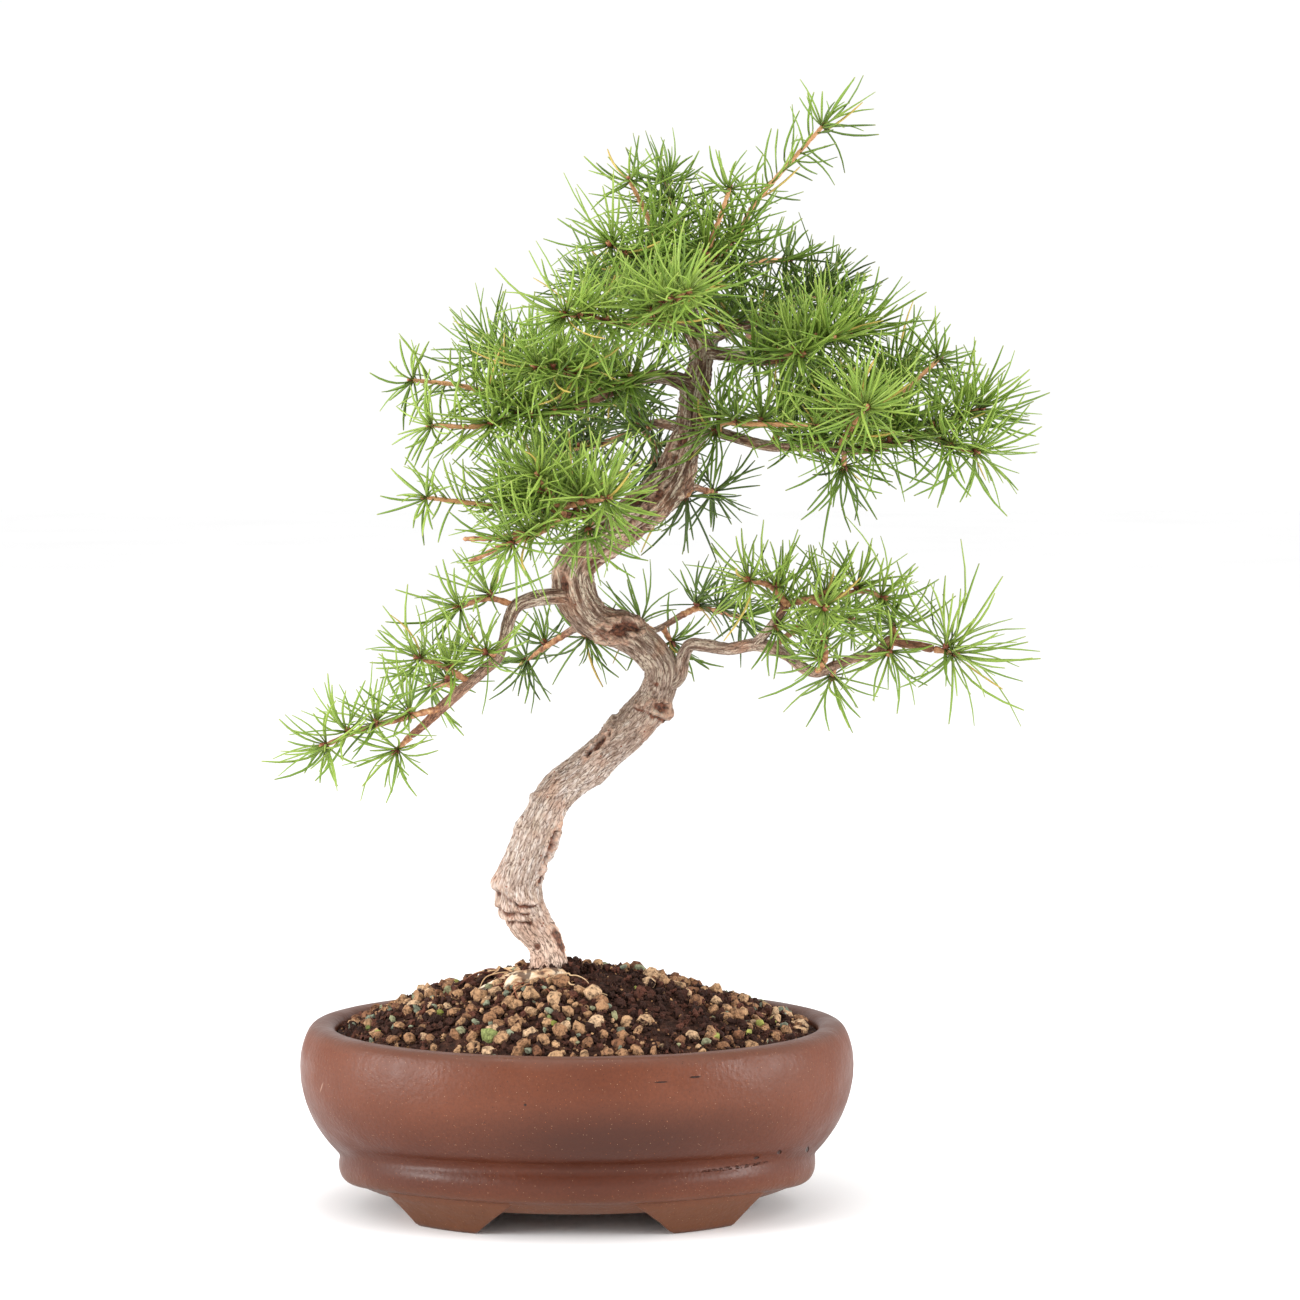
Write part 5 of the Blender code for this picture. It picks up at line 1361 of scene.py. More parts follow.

# %% [markdown]
# The bark's colour comes from the same numbers that shaped it. Cracks are brown, lifted bark is pale grey,
# wounds and the slits under the folds are dark inside, partly their own colour and partly painted shade,
# with a pale rolled rim, and the foot of the trunk is pinkish where soil kept it damp. Higher up, the bark
# turns browner.

# %% The bark finish
def bark_finish():
    """Grey plates, browner strands higher up, then cracks, spots, rims and wounds over them, with painted
    shade in the hollows of the wounds and under the folds.
    """
    bark = Finish("larch_bark", roughness=0.85)
    grain = bark.stored("grain", "Vector")
    height = bark.height()
    plates = bark.noise(560.0, 5.0, grain, rough=0.6)
    body = bark.steps(plates, (0.30, 146, 122, 106), (0.50, 188, 168, 155),
                      (0.68, 216, 204, 196))
    upper = bark.steps(plates, (0.34, 78, 54, 40), (0.50, 124, 94, 72),
                       (0.62, 156, 130, 108), (0.72, 196, 178, 158))
    climb = bark.sum(height, bark.times(bark.noise(60.0), 0.03))
    browner = bark.steps(climb, (0.186, 0.0), (0.210, 0.50), (0.256, 0.76), (0.300, 0.90))
    body = bark.mix(browner, body, upper)
    foot = bark.steps(climb, (0.118, 0.78), (0.142, 0.0))
    body = bark.over(body, foot, 240, 208, 188)
    drawn_out = bark.add("Mapping", 0, {"Vector": grain, "Scale": (1.0, 1.0, 0.30)})
    strand = bark.noise(720.0, 4.0, drawn_out, rough=0.68)
    ridge = bark.times(bark.steps(strand, (0.51, 0.0), (0.58, 0.95)),
                       bark.steps(climb, (0.20, 0.22), (0.27, 1.0)))
    body = bark.over(body, ridge, 212, 196, 174)
    furrow = bark.times(bark.steps(strand, (0.40, 0.95), (0.48, 0.0)),
                        bark.steps(climb, (0.20, 0.20), (0.27, 1.0)))
    body = bark.over(body, furrow, 72, 48, 36)
    young = bark.steps(plates, (0.36, 98, 54, 36), (0.52, 150, 96, 68), (0.68, 190, 140, 104))
    body = bark.mix(bark.times(bark.stored("young"), 0.85), body, young)
    warm = bark.steps(bark.noise(90.0, 2.0), (0.52, 0.0), (0.70, 0.45))
    body = bark.over(body, warm, 172, 124, 96)
    edge = bark.cells(640.0, grain, feature="DISTANCE_TO_EDGE")
    body = bark.over(body, bark.steps(edge, (0.0, 0.55), (0.07, 0.0)), 116, 90, 74)
    crack = bark.stored("crack")
    body = bark.over(body, bark.steps(crack, (0.30, 0.0), (0.85, 0.75)), 100, 72, 56)
    hair = bark.steps(bark.noise(1500.0, 3.0, grain), (0.37, 0.75), (0.46, 0.0))
    body = bark.over(body, hair, 86, 62, 48)
    spot = bark.steps(bark.cells(230.0), (0.07, 0.85), (0.12, 0.0))
    body = bark.over(body, spot, 122, 66, 44)
    rim = bark.times(bark.stored("pale"), bark.steps(bark.noise(700.0), (0.38, 0.0), (0.62, 0.75)))
    body = bark.over(body, rim, 200, 158, 134)
    # The dark inside of wounds and slits: partly their own colour, partly painted shade in the hollows.
    inside = bark.steps(bark.noise(700.0, 3.0), (0.35, 48, 27, 19), (0.62, 124, 74, 54))
    body = bark.mix(bark.steps(bark.stored("wound"), (0.12, 0.0), (0.70, 0.92)), body, inside)
    bark.bump((bark.noise(900.0, 4.0, grain), 0.0006), (bark.steps(edge, (0.0, 0.0), (0.10, 1.0)), 0.00025),
              (strand, 0.0008))
    return bark.use(Base_Color=body, Specular_IOR_Level=0.3)


def worn_root_finish():
    """Pale bare wood with brown cracks and patches of dark soil."""
    root = Finish("worn_root", roughness=0.8)
    grain = root.stored("grain", "Vector")
    body = root.steps(root.noise(420.0, 5.0, grain), (0.32, 132, 88, 60), (0.46, 206, 172, 136),
                      (0.60, 232, 214, 188))
    body = root.over(body, root.steps(root.stored("crack"), (0.3, 0.0), (0.8, 0.8)), 96, 58, 40)
    body = root.over(body, root.steps(root.noise(230.0, 3.0), (0.52, 0.0), (0.60, 0.85)), 64, 38, 27)
    root.bump((root.noise(500.0, 4.0, grain), 0.0010))
    return root.use(Base_Color=body)


def rootlet_finish():
    """From reddish to pale straw with each rootlet's tone."""
    rootlet = Finish("rootlets", roughness=0.8)
    tint = rootlet.steps(rootlet.stored("tone"), (0.0, 92, 44, 30), (0.5, 140, 82, 56),
                         (0.8, 196, 158, 116), (1.0, 214, 188, 150))
    rootlet.bump((rootlet.noise(1500.0), 0.0001))
    return rootlet.use(Base_Color=tint)


BARK = bark_finish()
for piece, finish in ((trunk, BARK), (branches, BARK), (collar_roots, worn_root_finish()),
                      (rootlets, rootlet_finish())):
    dress(piece, finish)
for piece in (trunk, branches):
    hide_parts("tree")

# %% [markdown]
# ## The green sprays
#
# Larch needles grow in two ways. On old wood they stand in rosettes of twenty to forty on a short spur. On
# this year's long shoots they stand singly in a spiral. Each spray below is a list of twigs: its kind, the
# places of its side rosettes as shares of its length, and its route. A spur is one rosette near the bark,
# and a dead twig carries none. A second twig forks off the first one near its start.

# %% Routes of the sprays
SPRAYS = {
    "lower_left_tip": [
        ("twig", (0.3, 0.58, 0.8), [
            (-52, -31, 201), (-59, -38, 200), (-67, -42, 198), (-80, -46, 195), (-95, -52, 189),
        ]),
    ],
    "lower_left_under": [("spur", (), [(-64, -31, 190), (-69, -34, 185)])],
    "lower_left_top": [("twig", (0.45,), [(-23, -19, 240), (-33, -21, 243), (-45, -26, 240)])],
    "lower_left_inner": [("spur", (), [(-30, -25, 221), (-37, -34, 224)])],
    "lower_left_mid": [("twig", (0.45,), [(-41, -28, 211), (-50, -31, 217), (-60, -35, 221)])],
    "lower_left_rear": [("twig", (0.5,), [(-45, -29, 207), (-50, -14, 209), (-57, 0, 207)])],
    "low_rear_left": [("twig", (0.42,), [(-6, 24, 225), (-13, 31, 220), (-21, 40, 214)])],
    "low_rear_left_spur": [("spur", (), [(0, 14, 229), (6, 22, 223)])],
    "lower_right_end": [("spur", (0.55,), [(139, -30, 224), (144, -31, 223)])],
    "lower_right_under": [("spur", (), [(123, -25, 227), (121, -33, 222)])],
    "lower_right_upspur": [("spur", (), [(125, -25, 227), (123, -19, 233)])],
    "lower_right_mid": [("twig", (0.42,), [(94, -20, 214), (97, -28, 221), (96, -34, 228)])],
    "lower_right_low": [("spur", (), [(101, -21, 217), (100, -14, 211)])],
    "lower_right_rise_left": [("twig", (0.42,), [(82, -24, 241), (76, -28, 248), (67, -34, 251)])],
    "lower_right_rise_right": [
        ("twig", (0.4, 0.72), [
            (82, -24, 241), (92, -21, 243), (102, -20, 244), (112, -22, 246), (119, -26, 244),
        ]),
        ("twig", (), [(90, -30, 243), (96, -41, 241)]),
    ],
    "lower_right_rear": [
        ("twig", (0.35, 0.7), [(77, -12, 223), (86, 8, 228), (98, 26, 230), (110, 40, 230)]),
    ],
    "low_rear_right": [
        ("twig", (0.28, 0.62), [(42, 44, 232), (49, 54, 234), (57, 62, 232), (67, 70, 229)]),
    ],
    "low_rear_right_spur": [("spur", (), [(30, 22, 227), (22, 28, 233)])],
    "low_rear_mid_spur": [("spur", (), [(34, 32, 228), (38, 34, 221)])],
    "mid_left_up": [
        ("twig", (0.48,), [(-4, -46, 277), (-9, -56, 285), (-13, -63, 292)]),
        ("twig", (0.55,), [(3, -60, 282), (13, -70, 284)]),
    ],
    "mid_left_down": [
        ("twig", (0.45,), [(-4, -46, 277), (-12, -58, 271), (-23, -68, 267)]),
        ("dead", (), [(-14, -55, 273), (-26, -57, 269), (-42, -56, 268)]),
        ("dead", (), [(-14, -55, 272), (-28, -56, 265), (-40, -55, 259)]),
    ],
    "mid_left_long": [
        ("shoot", (0.14, 0.26, 0.4), [
            (-4, -46, 277), (-16, -48, 279), (-26, -52, 280), (-41, -57, 282), (-56, -61, 284),
        ]),
    ],
    "mid_left_rear": [("twig", (0.5,), [(12, -24, 276), (-1, -10, 282), (-11, 6, 284), (-21, 20, 284)])],
    "mid_left_under": [("spur", (), [(7, -32, 276), (5, -39, 269)])],
    "upper_left_face": [("spur", (), [(-13, -40, 315), (-18, -52, 315)])],
    "upper_left_shoot": [
        ("shoot", (0.14, 0.28, 0.42), [(-13, -40, 315), (-27, -36, 320), (-40, -37, 325), (-62, -40, 328)]),
        ("shoot", (0.16, 0.32, 0.46), [(-32, -50, 311), (-54, -58, 311)]),
    ],
    "upper_left_ridge": [
        ("twig", (0.35, 0.68), [(11, -28, 322), (4, -36, 329), (-3, -43, 331), (-14, -49, 333)]),
    ],
    "upper_left_rear": [
        ("twig", (0.35, 0.7), [(-2, -34, 317), (-12, -12, 326), (-22, 6, 332), (-34, 18, 338)]),
    ],
    "upper_left_heart": [("spur", (), [(20, -20, 326), (22, -31, 331)])],
    "rear_left_low": [("twig", (0.32, 0.66), [(18, 42, 304), (6, 54, 300), (-8, 66, 297)])],
    "rear_left_drop": [("twig", (0.42,), [(26, 30, 308), (31, 41, 299), (29, 54, 291)])],
    "rear_left_high": [("twig", (0.34, 0.66), [(26, 30, 308), (21, 40, 319), (12, 56, 322), (0, 73, 325)])],
    "crown_front": [
        ("twig", (0.35, 0.7), [(27, -44, 350), (18, -52, 350), (4, -60, 352), (-3, -66, 353)]),
        ("twig", (0.55,), [(34, -60, 356), (43, -75, 361)]),
    ],
    "crown_left_low": [("twig", (0.52,), [(31, -6, 372), (23, -16, 375), (14, -27, 380)])],
    "crown_left_high": [("shoot", (0.22,), [(31, -6, 372), (29, -3, 388), (21, -9, 405)])],
    "crown_top_left": [("twig", (0.35, 0.7), [(45, -4, 361), (42, 9, 368), (41, 15, 384), (35, 18, 406)])],
    "crown_top_mid": [("shoot", (0.3,), [(49, -3, 369), (53, -12, 382), (57, -12, 393), (60, -10, 402)])],
    "leader": [
        ("shoot", (0.08, 0.2), [
            (51, -2, 371), (63, 2, 384), (70, 6, 396), (79, 8, 407), (88, 10, 417), (97, 12, 427),
        ]),
    ],
    "crown_rear_left": [
        ("twig", (0.32, 0.64), [(44, -4, 355), (34, 22, 360), (22, 44, 364), (7, 62, 366)]),
    ],
    "crown_rear_right": [("shoot", (0.28,), [(48, -3, 367), (60, 12, 370), (72, 26, 374), (85, 38, 375)])],
    "crown_rear": [("twig", (0.46,), [(45, -4, 351), (46, 30, 358), (50, 62, 362)])],
    "upper_right_fan": [
        ("twig", (0.52,), [(81, -26, 337), (89, -32, 341), (98, -40, 344)]),
        ("twig", (), [(87, -42, 338)]),
    ],
    "upper_right_far": [
        ("twig", (0.38, 0.7), [(79, -24, 337), (91, -15, 341), (102, -11, 345), (112, -9, 347)]),
    ],
    "upper_right_rear": [("twig", (0.34, 0.66), [(79, 38, 352), (90, 50, 359), (103, 60, 362)])],
    "upper_right_rear_low": [
        ("twig", (0.44,), [(68, 26, 349), (70, 40, 342), (79, 52, 338), (89, 61, 337)]),
    ],
    "right_near": [
        ("shoot", (0.1, 0.24, 0.42, 0.6), [(56, -2, 307), (57, -18, 311), (68, -32, 311), (92, -50, 311)]),
    ],
    "right_face": [("twig", (0.5,), [(102, -27, 302), (106, -48, 311), (110, -68, 318)])],
    "right_under": [("spur", (), [(104, -27, 301), (104, -23, 293)])],
    "right_end": [
        ("twig", (0.3, 0.62), [(131, -30, 306), (143, -30, 311), (156, -28, 317)]),
        ("twig", (0.6,), [(143, -37, 303), (153, -43, 301)]),
    ],
    "right_rise": [("shoot", (0.26,), [(118, -30, 303), (125, -27, 320), (141, -20, 336)])],
    "right_rise_rear": [("twig", (0.5,), [(110, -28, 301), (118, -6, 315), (128, 8, 332)])],
    "right_rear": [("twig", (0.34, 0.66), [(87, -22, 302), (96, 4, 309), (108, 26, 315), (120, 42, 316)])],
    "right_inner": [("twig", (0.5,), [(76, -16, 302), (84, -4, 315), (93, 6, 325)])],
    "rear_low": [("spur", (), [(51, 26, 283), (56, 36, 282)])],
    "rear_low_spur": [("spur", (), [(46, 18, 285), (42, 26, 278)])],
}
for twigs in SPRAYS.values():
    twigs[:] = [(kind, shares, metres(route)) for kind, shares, route in twigs]
print("sprays:", len(SPRAYS))

# %% [markdown]
# A twig starts on the axis of the branch that carries it, so it grows out of the bark with no gap. Its
# bark is smooth and orange-brown, paler on new shoots. A bud is a small reddish ball at the heart of each
# rosette.

# %% Twigs and buds
TWIG_TURNS = 10
TWIG_RADIUS = 0.0010
SPUR_LENGTH = 0.0075
FORK_AT = 0.0045
BUD_GRID = (5, 8)
NODE_SPACING = 0.0042
SCAR_SPACING = 0.0017
KIND_TWIG, KIND_BUD, KIND_NEEDLE = 0.0, 0.5, 1.0


def twig_path(kind, points, new):
    """The twig's curve. Its radius falls from 1.4 mm to 0.9 mm, with a little swelling at each node."""
    points = np.array(points)
    if kind == "spur":
        points = np.array([points[0], points[0] + unit(points[1] - points[0]) * SPUR_LENGTH])
    thick = np.linspace(0.0014 - 0.0002 * new, 0.0009 - 0.0001 * new, len(points))
    if len(points) == 2:
        points = np.insert(points, 1, points.mean(0), axis=0)
        thick = np.insert(thick, 1, thick.mean())
    path = smooth_route(np.column_stack([points, thick]), 0.0008)
    along = lengths_along(path)
    around = along * 2 * math.pi
    path[:, 3] *= 1.0 + 0.10 * np.sin(around / NODE_SPACING) + 0.05 * np.sin(around / SCAR_SPACING)
    return path


def add_twig(pile, path, tone):
    """A tube with a rounded end, which stores how far along it each ring lies."""
    along = lengths_along(path)
    points = tube_points(path[:, :3], rounded_ends(along, path[:, 3], start=False), TWIG_TURNS)
    run = np.append(np.repeat(along / along[-1], TWIG_TURNS), [0.0, 1.0])
    pile.add(points + POT_CENTRE, *closed(len(path), TWIG_TURNS), kind=KIND_TWIG, tone=tone, along=run)


def add_bud(pile, rng, place, way, size):
    """A ball drawn out along its way, with scales as a ripple: r = 1 + 0.1·sin(3·turn + 6·height)."""
    ball = unit_ball(*BUD_GRID)
    scales = 1.0 + 0.10 * np.sin(np.arctan2(ball[:, 1], ball[:, 0]) * 3 + ball[:, 2] * 6)
    side = unit(np.cross(way, rng.normal(size=3)))
    frame_of_bud = np.stack([side, np.cross(way, side), way])
    points = (ball * scales[:, None] * (size, size, size * 1.25)) @ frame_of_bud + place
    pile.add(points + POT_CENTRE, *closed(*BUD_GRID), kind=KIND_BUD, tone=rng.uniform(),
             along=0.5 + 0.5 * ball[:, 2])


print("twig tools are ready")

# %% [markdown]
# A larch needle is about 22 mm long and 1 mm wide, soft and curved, with a blunt tip. Six rings of three
# points are enough for one. All the needles of a rosette are worked out together: each is a root, a
# direction, a length and a bend.

# %% Needles
NEEDLE_HALF_WIDTH = 0.00058
NEEDLE_HALF_DEPTH = 0.00034
NEEDLE_RINGS = 6
NEEDLE_SIDES = 3
NEEDLE_TAPER = np.array([0.65, 0.95, 1.0, 1.0, 0.88, 0.52])
ROOT_REACH = 0.0001
TIP_REACH = 0.0003
BEND_SPREAD = 0.29
BEND_UP = 0.07
LIT_WAY = (0.0, -0.08, 0.12)
TONE_SPREAD = 0.13
GREENEST = 0.95
YELLOWED = 1.2
YELLOWED_SHARE = 0.018


def needle_points(roots, ways, lengths, bends):
    """centre(t) = root + way·length·t + bend·length·t². Each ring is an oval, narrower at both ends."""
    t = np.linspace(0.0, 1.0, NEEDLE_RINGS)
    run = (lengths[:, None] * t)[..., None]
    centres = roots[:, None] + ways[:, None] * run + bends[:, None] * run * t[:, None]
    ahead = unit(np.gradient(centres, axis=1))
    wide = unit(np.cross(ahead, ways[:, None] + (0.31, 0.57, 0.76)))
    deep = np.cross(ahead, wide)
    angle = np.arange(NEEDLE_SIDES) * 2 * math.pi / NEEDLE_SIDES
    taper = NEEDLE_TAPER[:, None, None]
    ring = (wide[:, :, None] * np.cos(angle)[:, None] * NEEDLE_HALF_WIDTH
            + deep[:, :, None] * np.sin(angle)[:, None] * NEEDLE_HALF_DEPTH) * taper
    points = (centres[:, :, None] + ring).reshape(len(roots), -1, 3)
    tips = np.stack([centres[:, 0] - ahead[:, 0] * ROOT_REACH, centres[:, -1] + ahead[:, -1] * TIP_REACH], 1)
    return np.concatenate([points, tips], 1)


def add_needles(pile, rng, roots, ways, lengths, shade):
    """The bend is square to the needle, mostly a quarter of its length, and a little upwards on the whole.

    Needles that point up and to the viewer's side are painted lighter, and those that point down into the
    shade under the twig are painted darker. A few are yellowed.
    """
    count = len(roots)
    ways = unit(np.array(ways))
    # Painted light and shade: a needle pointing up and to the viewer is made lighter.
    shade = shade + ways @ LIT_WAY
    bends = rng.normal(0.0, BEND_SPREAD, (count, 3)) + (0.0, 0.0, BEND_UP)
    bends = bends - ways * (bends * ways).sum(1, keepdims=True)
    points = needle_points(np.array(roots), ways, np.array(lengths), bends)
    each = points.shape[1]
    # The tone holds this painted light and shade, and a random spread.
    tone = np.clip(shade + rng.normal(0.0, TONE_SPREAD, count), 0.0, GREENEST)
    tone = np.where(rng.uniform(size=count) < YELLOWED_SHARE, YELLOWED, tone)
    run = np.append(np.repeat(np.linspace(0.0, 1.0, NEEDLE_RINGS), NEEDLE_SIDES), [0.0, 1.0])
    pile.add(points.reshape(-1, 3) + POT_CENTRE, *copies(NEEDLE_RINGS, NEEDLE_SIDES, each, count),
             kind=KIND_NEEDLE, tone=np.repeat(tone, each), along=np.tile(run, count))
    return count


print("needle faces:", len(grid_quads(NEEDLE_RINGS, NEEDLE_SIDES)) * 2 + 2 * NEEDLE_SIDES)

# %% [markdown]
# A rosette fans its needles from nearly straight ahead of its bud to square with it, and a few reach past
# square. At the tips of new shoots and of the topmost twigs they are shorter and spread wide, but the
# leading shoot holds them forwards. Needles along a shoot follow the golden angle, 137.5 degrees from each
# to the next, which is how a plant spaces its leaves.

# %% Places and directions on a twig
GOLDEN_ANGLE = math.radians(137.508)
LEAN_SPREAD = 11.0
TURN_SPREAD = 0.3
CROWN_FROM = 0.255
LIGHT_ON_CROWN = np.array([0.0, -0.75, 0.65])
LIGHT_BELOW = np.array([0.0, -0.75, 1.05])
LIGHT_SPREAD = 0.35


def on_path(path, share):
    """The place and the direction at a share of the way along."""
    at = share * (len(path) - 1)
    i = min(int(at), len(path) - 2)
    return path[i, :3] + (path[i + 1, :3] - path[i, :3]) * (at - i), unit(path[i + 1, :3] - path[i, :3])


def fan(rng, axis, count, least, most):
    """Directions round an axis, with the lean spread evenly and each turned by the golden angle."""
    side = unit(np.cross(axis, (0.37, 0.21, 0.90)))
    other = np.cross(axis, side)
    lean = np.radians(np.linspace(least, most, count) + rng.normal(0.0, LEAN_SPREAD, count))
    turn = np.arange(count) * GOLDEN_ANGLE + rng.uniform(0.0, 6.28) + rng.normal(0.0, TURN_SPREAD, count)
    around = np.cos(turn)[:, None] * side + np.sin(turn)[:, None] * other
    return np.cos(lean)[:, None] * axis + np.sin(lean)[:, None] * around


def turned_about(axis, way, turn):
    """The way turned about the axis: way·cos + (axis × way)·sin + axis·(axis · way)·(1 - cos)."""
    return (way * math.cos(turn) + np.cross(axis, way) * math.sin(turn)
            + axis * (axis @ way) * (1.0 - math.cos(turn)))


def outward(axis, rng, height):
    """The way a side bud points: square to the twig, towards the light, and more upwards on low branches."""
    lit = (LIGHT_ON_CROWN if height > CROWN_FROM else LIGHT_BELOW) + rng.normal(0.0, LIGHT_SPREAD, 3)
    return unit(lit - axis * (lit @ axis))


print("ways to point needles are ready")

# %% Rosettes on the side of a twig
CROWN_NEEDLE = 0.0218
LOW_NEEDLE = 0.0188
FAR_RIGHT = 0.135
FAR_RIGHT_MORE = 0.0085
BEHIND = 0.03
BEHIND_LESS = 0.12
LENGTH_SPREAD = 0.19
NEEDLES_AT_SIDE = 25
ROSETTE_LEANS = (14.0, 104.0)
ROSETTE_SPACING = 0.0104
HEART_RADIUS = 0.0007
SPUR_HEIGHT = 0.0006
SPUR_LEAN = (0.75, 0.45)
SIDE_BUD = 0.0014
SIDE_BUD_RISE = 0.0004


def needle_lengths(rng, place, count):
    """About 22 mm in the crown, 19 mm on the low branches and 27 mm at their far right end, less behind."""
    middle = CROWN_NEEDLE if place[2] > CROWN_FROM else LOW_NEEDLE + FAR_RIGHT_MORE * (place[0] > FAR_RIGHT)
    behind = 1.0 - BEHIND_LESS * (place[1] > BEHIND)
    return middle * behind * rng.normal(1.0, LENGTH_SPREAD, count).clip(0.5, 1.30)


def side_rosette(pile, rng, place, axis, bark_radius, shade):
    """A rosette on a spur that stands out of the bark, with its bud at the heart."""
    out = outward(axis, rng, place[2])
    heart = place + out * (bark_radius + SPUR_HEIGHT)
    add_bud(pile, rng, heart + out * SIDE_BUD_RISE, out, SIDE_BUD)
    lean = unit(out * SPUR_LEAN[0] + axis * SPUR_LEAN[1])
    ways = fan(rng, lean, NEEDLES_AT_SIDE, *ROSETTE_LEANS)
    lengths = needle_lengths(rng, place, NEEDLES_AT_SIDE)
    return add_needles(pile, rng, heart + ways * HEART_RADIUS, ways, lengths, shade)


def filled_in(shares, length, crowded):
    """The given places, and in the crown also places between them, so that no gap is much over 10 mm."""
    if not crowded:
        return list(shares)
    marks = [0.12, *shares, 1.0]
    full = list(shares)
    for low, high in zip(marks, marks[1:]):
        extra = int((high - low) * length / ROSETTE_SPACING)
        full += [low + (high - low) * (i + 1) / (extra + 1) for i in range(extra)]
    return full


print("rosettes along 40 mm of a twig in the crown:", len(filled_in([0.5], 0.04, True)))

# %% Spirals and whole twigs
SHOOT_SPACING = 0.0013
SHOOT_LEANS = (50.0, 84.0)
SHOOT_LENGTHS = (0.014, 0.022)
NEEDLES_AT_TIP = 31
NEEDLES_AT_SHOOT_TIP = 19
TIP_CUPPED = (16.0, 104.0, 1.0)
TIP_WIDE = (36.0, 102.0, 0.68)
TIP_LEADING = (12.0, 88.0, 0.88)
LEADER_FROM = 0.42
TOP_FROM = 0.39
TIP_BUD, SHOOT_BUD = 0.0015, 0.0009
TIP_BUD_RISE = 0.0008
TIP_HEART_SUNK = 0.0006


def add_spiral(pile, rng, path, first, shade):
    """Single needles along a new shoot, each turned from the last by the golden angle."""
    length = lengths_along(path)[-1]
    shares = np.linspace(first, 0.985, int(length * (1 - first) / SHOOT_SPACING))
    spots = [on_path(path, share) for share in shares]
    leans = rng.uniform(*SHOOT_LEANS, len(spots))
    ways = np.array([turned_about(axis, fan(rng, axis, 1, lean, lean)[0], number * GOLDEN_ANGLE)
                     for number, ((_, axis), lean) in enumerate(zip(spots, leans))])
    roots = np.array([place for place, _ in spots]) + ways * 0.0004
    return add_needles(pile, rng, roots, ways, rng.uniform(*SHOOT_LENGTHS, len(ways)), shade)


def tip_rosette(pile, rng, place, axis, new, shade):
    """At a twig's end: cupped as a rule, wide near the top and on shoots, narrower on the leader."""
    add_bud(pile, rng, place + axis * TIP_BUD_RISE, axis, SHOOT_BUD if new else TIP_BUD)
    count = NEEDLES_AT_SHOOT_TIP if new else NEEDLES_AT_TIP
    leading = place[2] > LEADER_FROM
    wide = new or place[2] > TOP_FROM
    least, most, share = TIP_LEADING if leading else TIP_WIDE if wide else TIP_CUPPED
    ways = fan(rng, axis, count, least, most)
    roots = place - axis * TIP_HEART_SUNK + ways * HEART_RADIUS
    lengths = needle_lengths(rng, place, count) * share
    return add_needles(pile, rng, roots, ways, lengths, shade)


def grow_twig(pile, rng, kind, shares, points, shade):
    """One twig with its side rosettes, its spiral if it is a new shoot, and the rosette at its tip."""
    new = kind == "shoot"
    path = twig_path(kind, points, new)
    add_twig(pile, path, 0.8 if new else 0.35)
    if kind == "dead":
        return 0
    grown = 0
    length = lengths_along(path)[-1]
    crowded = points[-1][2] > CROWN_FROM and kind == "twig"
    for share in filled_in(shares, length, crowded):
        place, axis = on_path(path, share)
        grown += side_rosette(pile, rng, place, axis, TWIG_RADIUS, shade)
    if new:
        grown += add_spiral(pile, rng, path, max(shares) + 0.06, shade + 0.1)
    place, axis = on_path(path, 1.0)
    return grown + tip_rosette(pile, rng, place, axis, new, shade + 0.05)


print("twigs can be grown")

# %% [markdown]
# Needles of sprays at the front and top of the crown, and on the open low branches, are painted a brighter
# yellow-green as painted light. Those inside and behind are painted darker as painted shade. A share from 0
# to 1 is worked out from where each spray stands.

# %% Grow every spray
MIDDLE_SHADE = 0.46
MIDDLE_HEIGHT = 0.29
LOW_BRANCH_LIGHT = 0.23


def shade_of(points):
    """The share of painted light: 0.46 in the middle of the tree, more towards the viewer, upwards, and on the
    open low branches.
    """
    x, y, z = np.mean(points, axis=0)
    shade = MIDDLE_SHADE - y * 6.0 + (z - MIDDLE_HEIGHT) * 0.8 + LOW_BRANCH_LIGHT * (z < CROWN_FROM)
    return float(np.clip(shade, 0.10, 0.80))


def spray_piece(name, twigs, seed):
    """All the twigs of a spray as one piece. The later ones fork off the first, 4.5 mm from its start."""
    rng = np.random.default_rng(seed)
    pile = Pile()
    start = np.array(twigs[0][2][0])
    ahead = unit(np.array(twigs[0][2][1]) - start)
    grown = 0
    for number, (kind, shares, points) in enumerate(twigs):
        route = points if number == 0 else [tuple(start + ahead * FORK_AT), *points]
        grown += grow_twig(pile, rng, kind, shares, route, shade_of(points))
    return pile.piece("sprig_" + name), grown


sprigs, needle_total = [], 0
for number, (name, twigs) in enumerate(SPRAYS.items()):
    piece, grown = spray_piece(name, twigs, 100 + number)
    sprigs.append(piece)
    needle_total += grown
print("needles:", needle_total)

# %% [markdown]
# Old wood in the crown carries rosettes too, straight on its bark, and they hide most of the branches. They
# stand at shares of each branch's length, and the last share is near its end.

# %% Rosettes on old wood
OLD_WOOD = {
    "mid_left": (0.56, 0.72, 0.90), "upper_left": (0.46, 0.58, 0.70, 0.82, 0.94),
    "rear_left": (0.45, 0.65, 0.85), "upper_right": (0.66, 0.84, 0.98),
    "rear_right": (0.35, 0.55, 0.75, 0.95), "right": (0.50, 0.60, 0.70, 0.80, 0.90, 0.98),
    "crown_front": (0.45, 0.62, 0.80, 0.95), "crown_left": (0.45, 0.90),
    "lower_right_rise": (0.60, 0.95),
}
TRUNK_ROSETTES = (0.945, 0.965, 0.990)
OLD_WOOD_STEP = 0.001


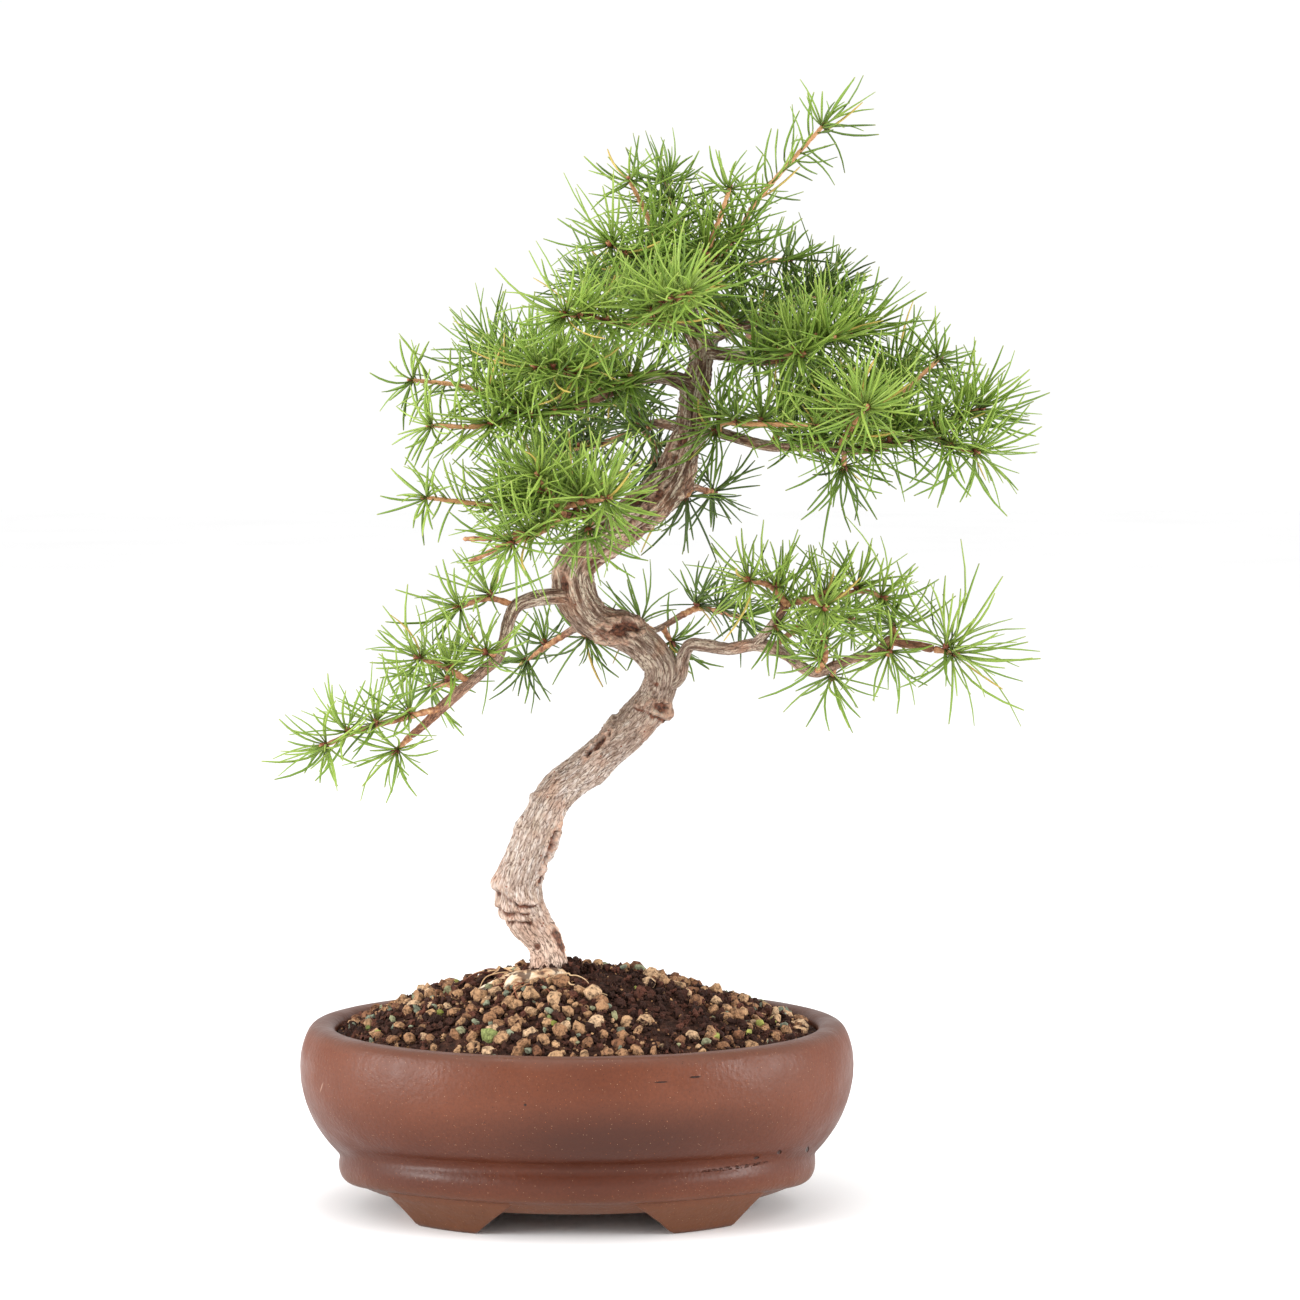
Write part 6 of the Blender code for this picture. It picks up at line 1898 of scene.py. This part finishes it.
def old_wood_piece(name, route, shares, seed):
    """Rosettes at shares of a branch, out to its bark's radius."""
    rng = np.random.default_rng(seed)
    pile = Pile()
    path = smooth_route(route, OLD_WOOD_STEP)
    grown = 0
    for share in shares:
        place, axis = on_path(path, share)
        radius = path[int(share * (len(path) - 1)), 3]
        grown += side_rosette(pile, rng, place, axis, radius, shade_of([place]))
    return pile.piece("rosettes_" + name), grown


for number, (name, shares) in enumerate([*OLD_WOOD.items(), ("trunk", TRUNK_ROSETTES)]):
    route = TRUNK if name == "trunk" else BRANCHES[name]
    piece, grown = old_wood_piece(name, route, shares, 300 + number)
    sprigs.append(piece)
    needle_total += grown
print("needles with those on old wood:", needle_total)

# %% [markdown]
# One finish serves twigs, buds and needles. A number stored on every point says which it is. The needles'
# colour runs from dark green to yellow-green with the needle's tone, which holds their painted light and shade
# as well as a random spread. They are painted darker at the root, as the shade where little light gets in, and
# paler at the very tip. Their skin has a dull wax, so they shine softly.

# %% The finish of the sprays
def spray_finish():
    """Three colourings, of twig, bud and needle, chosen by the stored kind."""
    spray = Finish("larch_spray", roughness=0.5)
    tone, along, kind = spray.stored("tone"), spray.stored("along"), spray.stored("kind")
    green = spray.steps(tone, (0.0, 42, 62, 22), (0.35, 78, 103, 32), (0.65, 112, 142, 48),
                        (0.96, 142, 166, 70), (1.0, 186, 160, 80))
    # Painted shade at each needle's root.
    green = spray.over(green, spray.steps(along, (0.0, 0.60), (0.42, 0.0)), 56, 66, 26)
    green = spray.over(green, spray.steps(along, (0.94, 0.0), (1.0, 0.45)), 172, 164, 96)
    green = spray.over(green, spray.steps(spray.noise(60.0), (0.4, 0.0), (0.7, 0.22)), 110, 138, 60)
    twig = spray.steps(spray.noise(500.0, 3.0), (0.35, 126, 80, 54), (0.5, 168, 116, 78),
                       (0.7, 200, 156, 112))
    twig = spray.over(twig, spray.steps(tone, (0.4, 0.0), (0.8, 0.6)), 186, 138, 90)
    bud = spray.steps(along, (0.3, 96, 48, 34), (0.75, 132, 70, 46), (0.98, 176, 124, 82))
    body = spray.mix(spray.steps(kind, (0.24, 0.0), (0.26, 1.0)), twig, bud)
    body = spray.mix(spray.steps(kind, (0.74, 0.0), (0.76, 1.0)), body, green)
    spray.bump((spray.noise(900.0, 2.0), 0.00015))
    return spray.use(Base_Color=body, Specular_IOR_Level=0.35)


SPRAY = spray_finish()
for piece in sprigs:
    dress(piece, SPRAY)
for piece, name in zip(sprigs, SPRAYS):
    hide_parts("spray_" + name)
print("triangles in all sprays:", sum(triangle_count(piece) for piece in sprigs))

# %% [markdown]
# ## The floor and the last step
#
# A pale floor catches the soft shadow under the pot. It is part of the studio and not of the tree.

# %% The floor
FLOOR_HALF = 6.0


def studio_floor():
    """A square at z = 0."""
    corners = [(FLOOR_HALF * x, FLOOR_HALF * y, 0.0) for x, y in ((-1, -1), (1, -1), (1, 1), (-1, 1))]
    floor = make_piece("studio_floor", corners, [(0, 1, 2, 3)])
    paper = Finish("white_paper", roughness=0.9)
    tint = paper.steps(paper.noise(3.0), (0.3, 250, 250, 250), (0.7, 254, 254, 254))
    floor.data.materials.append(paper.use(Base_Color=tint))
    return floor


studio_floor()
print("floor is laid")
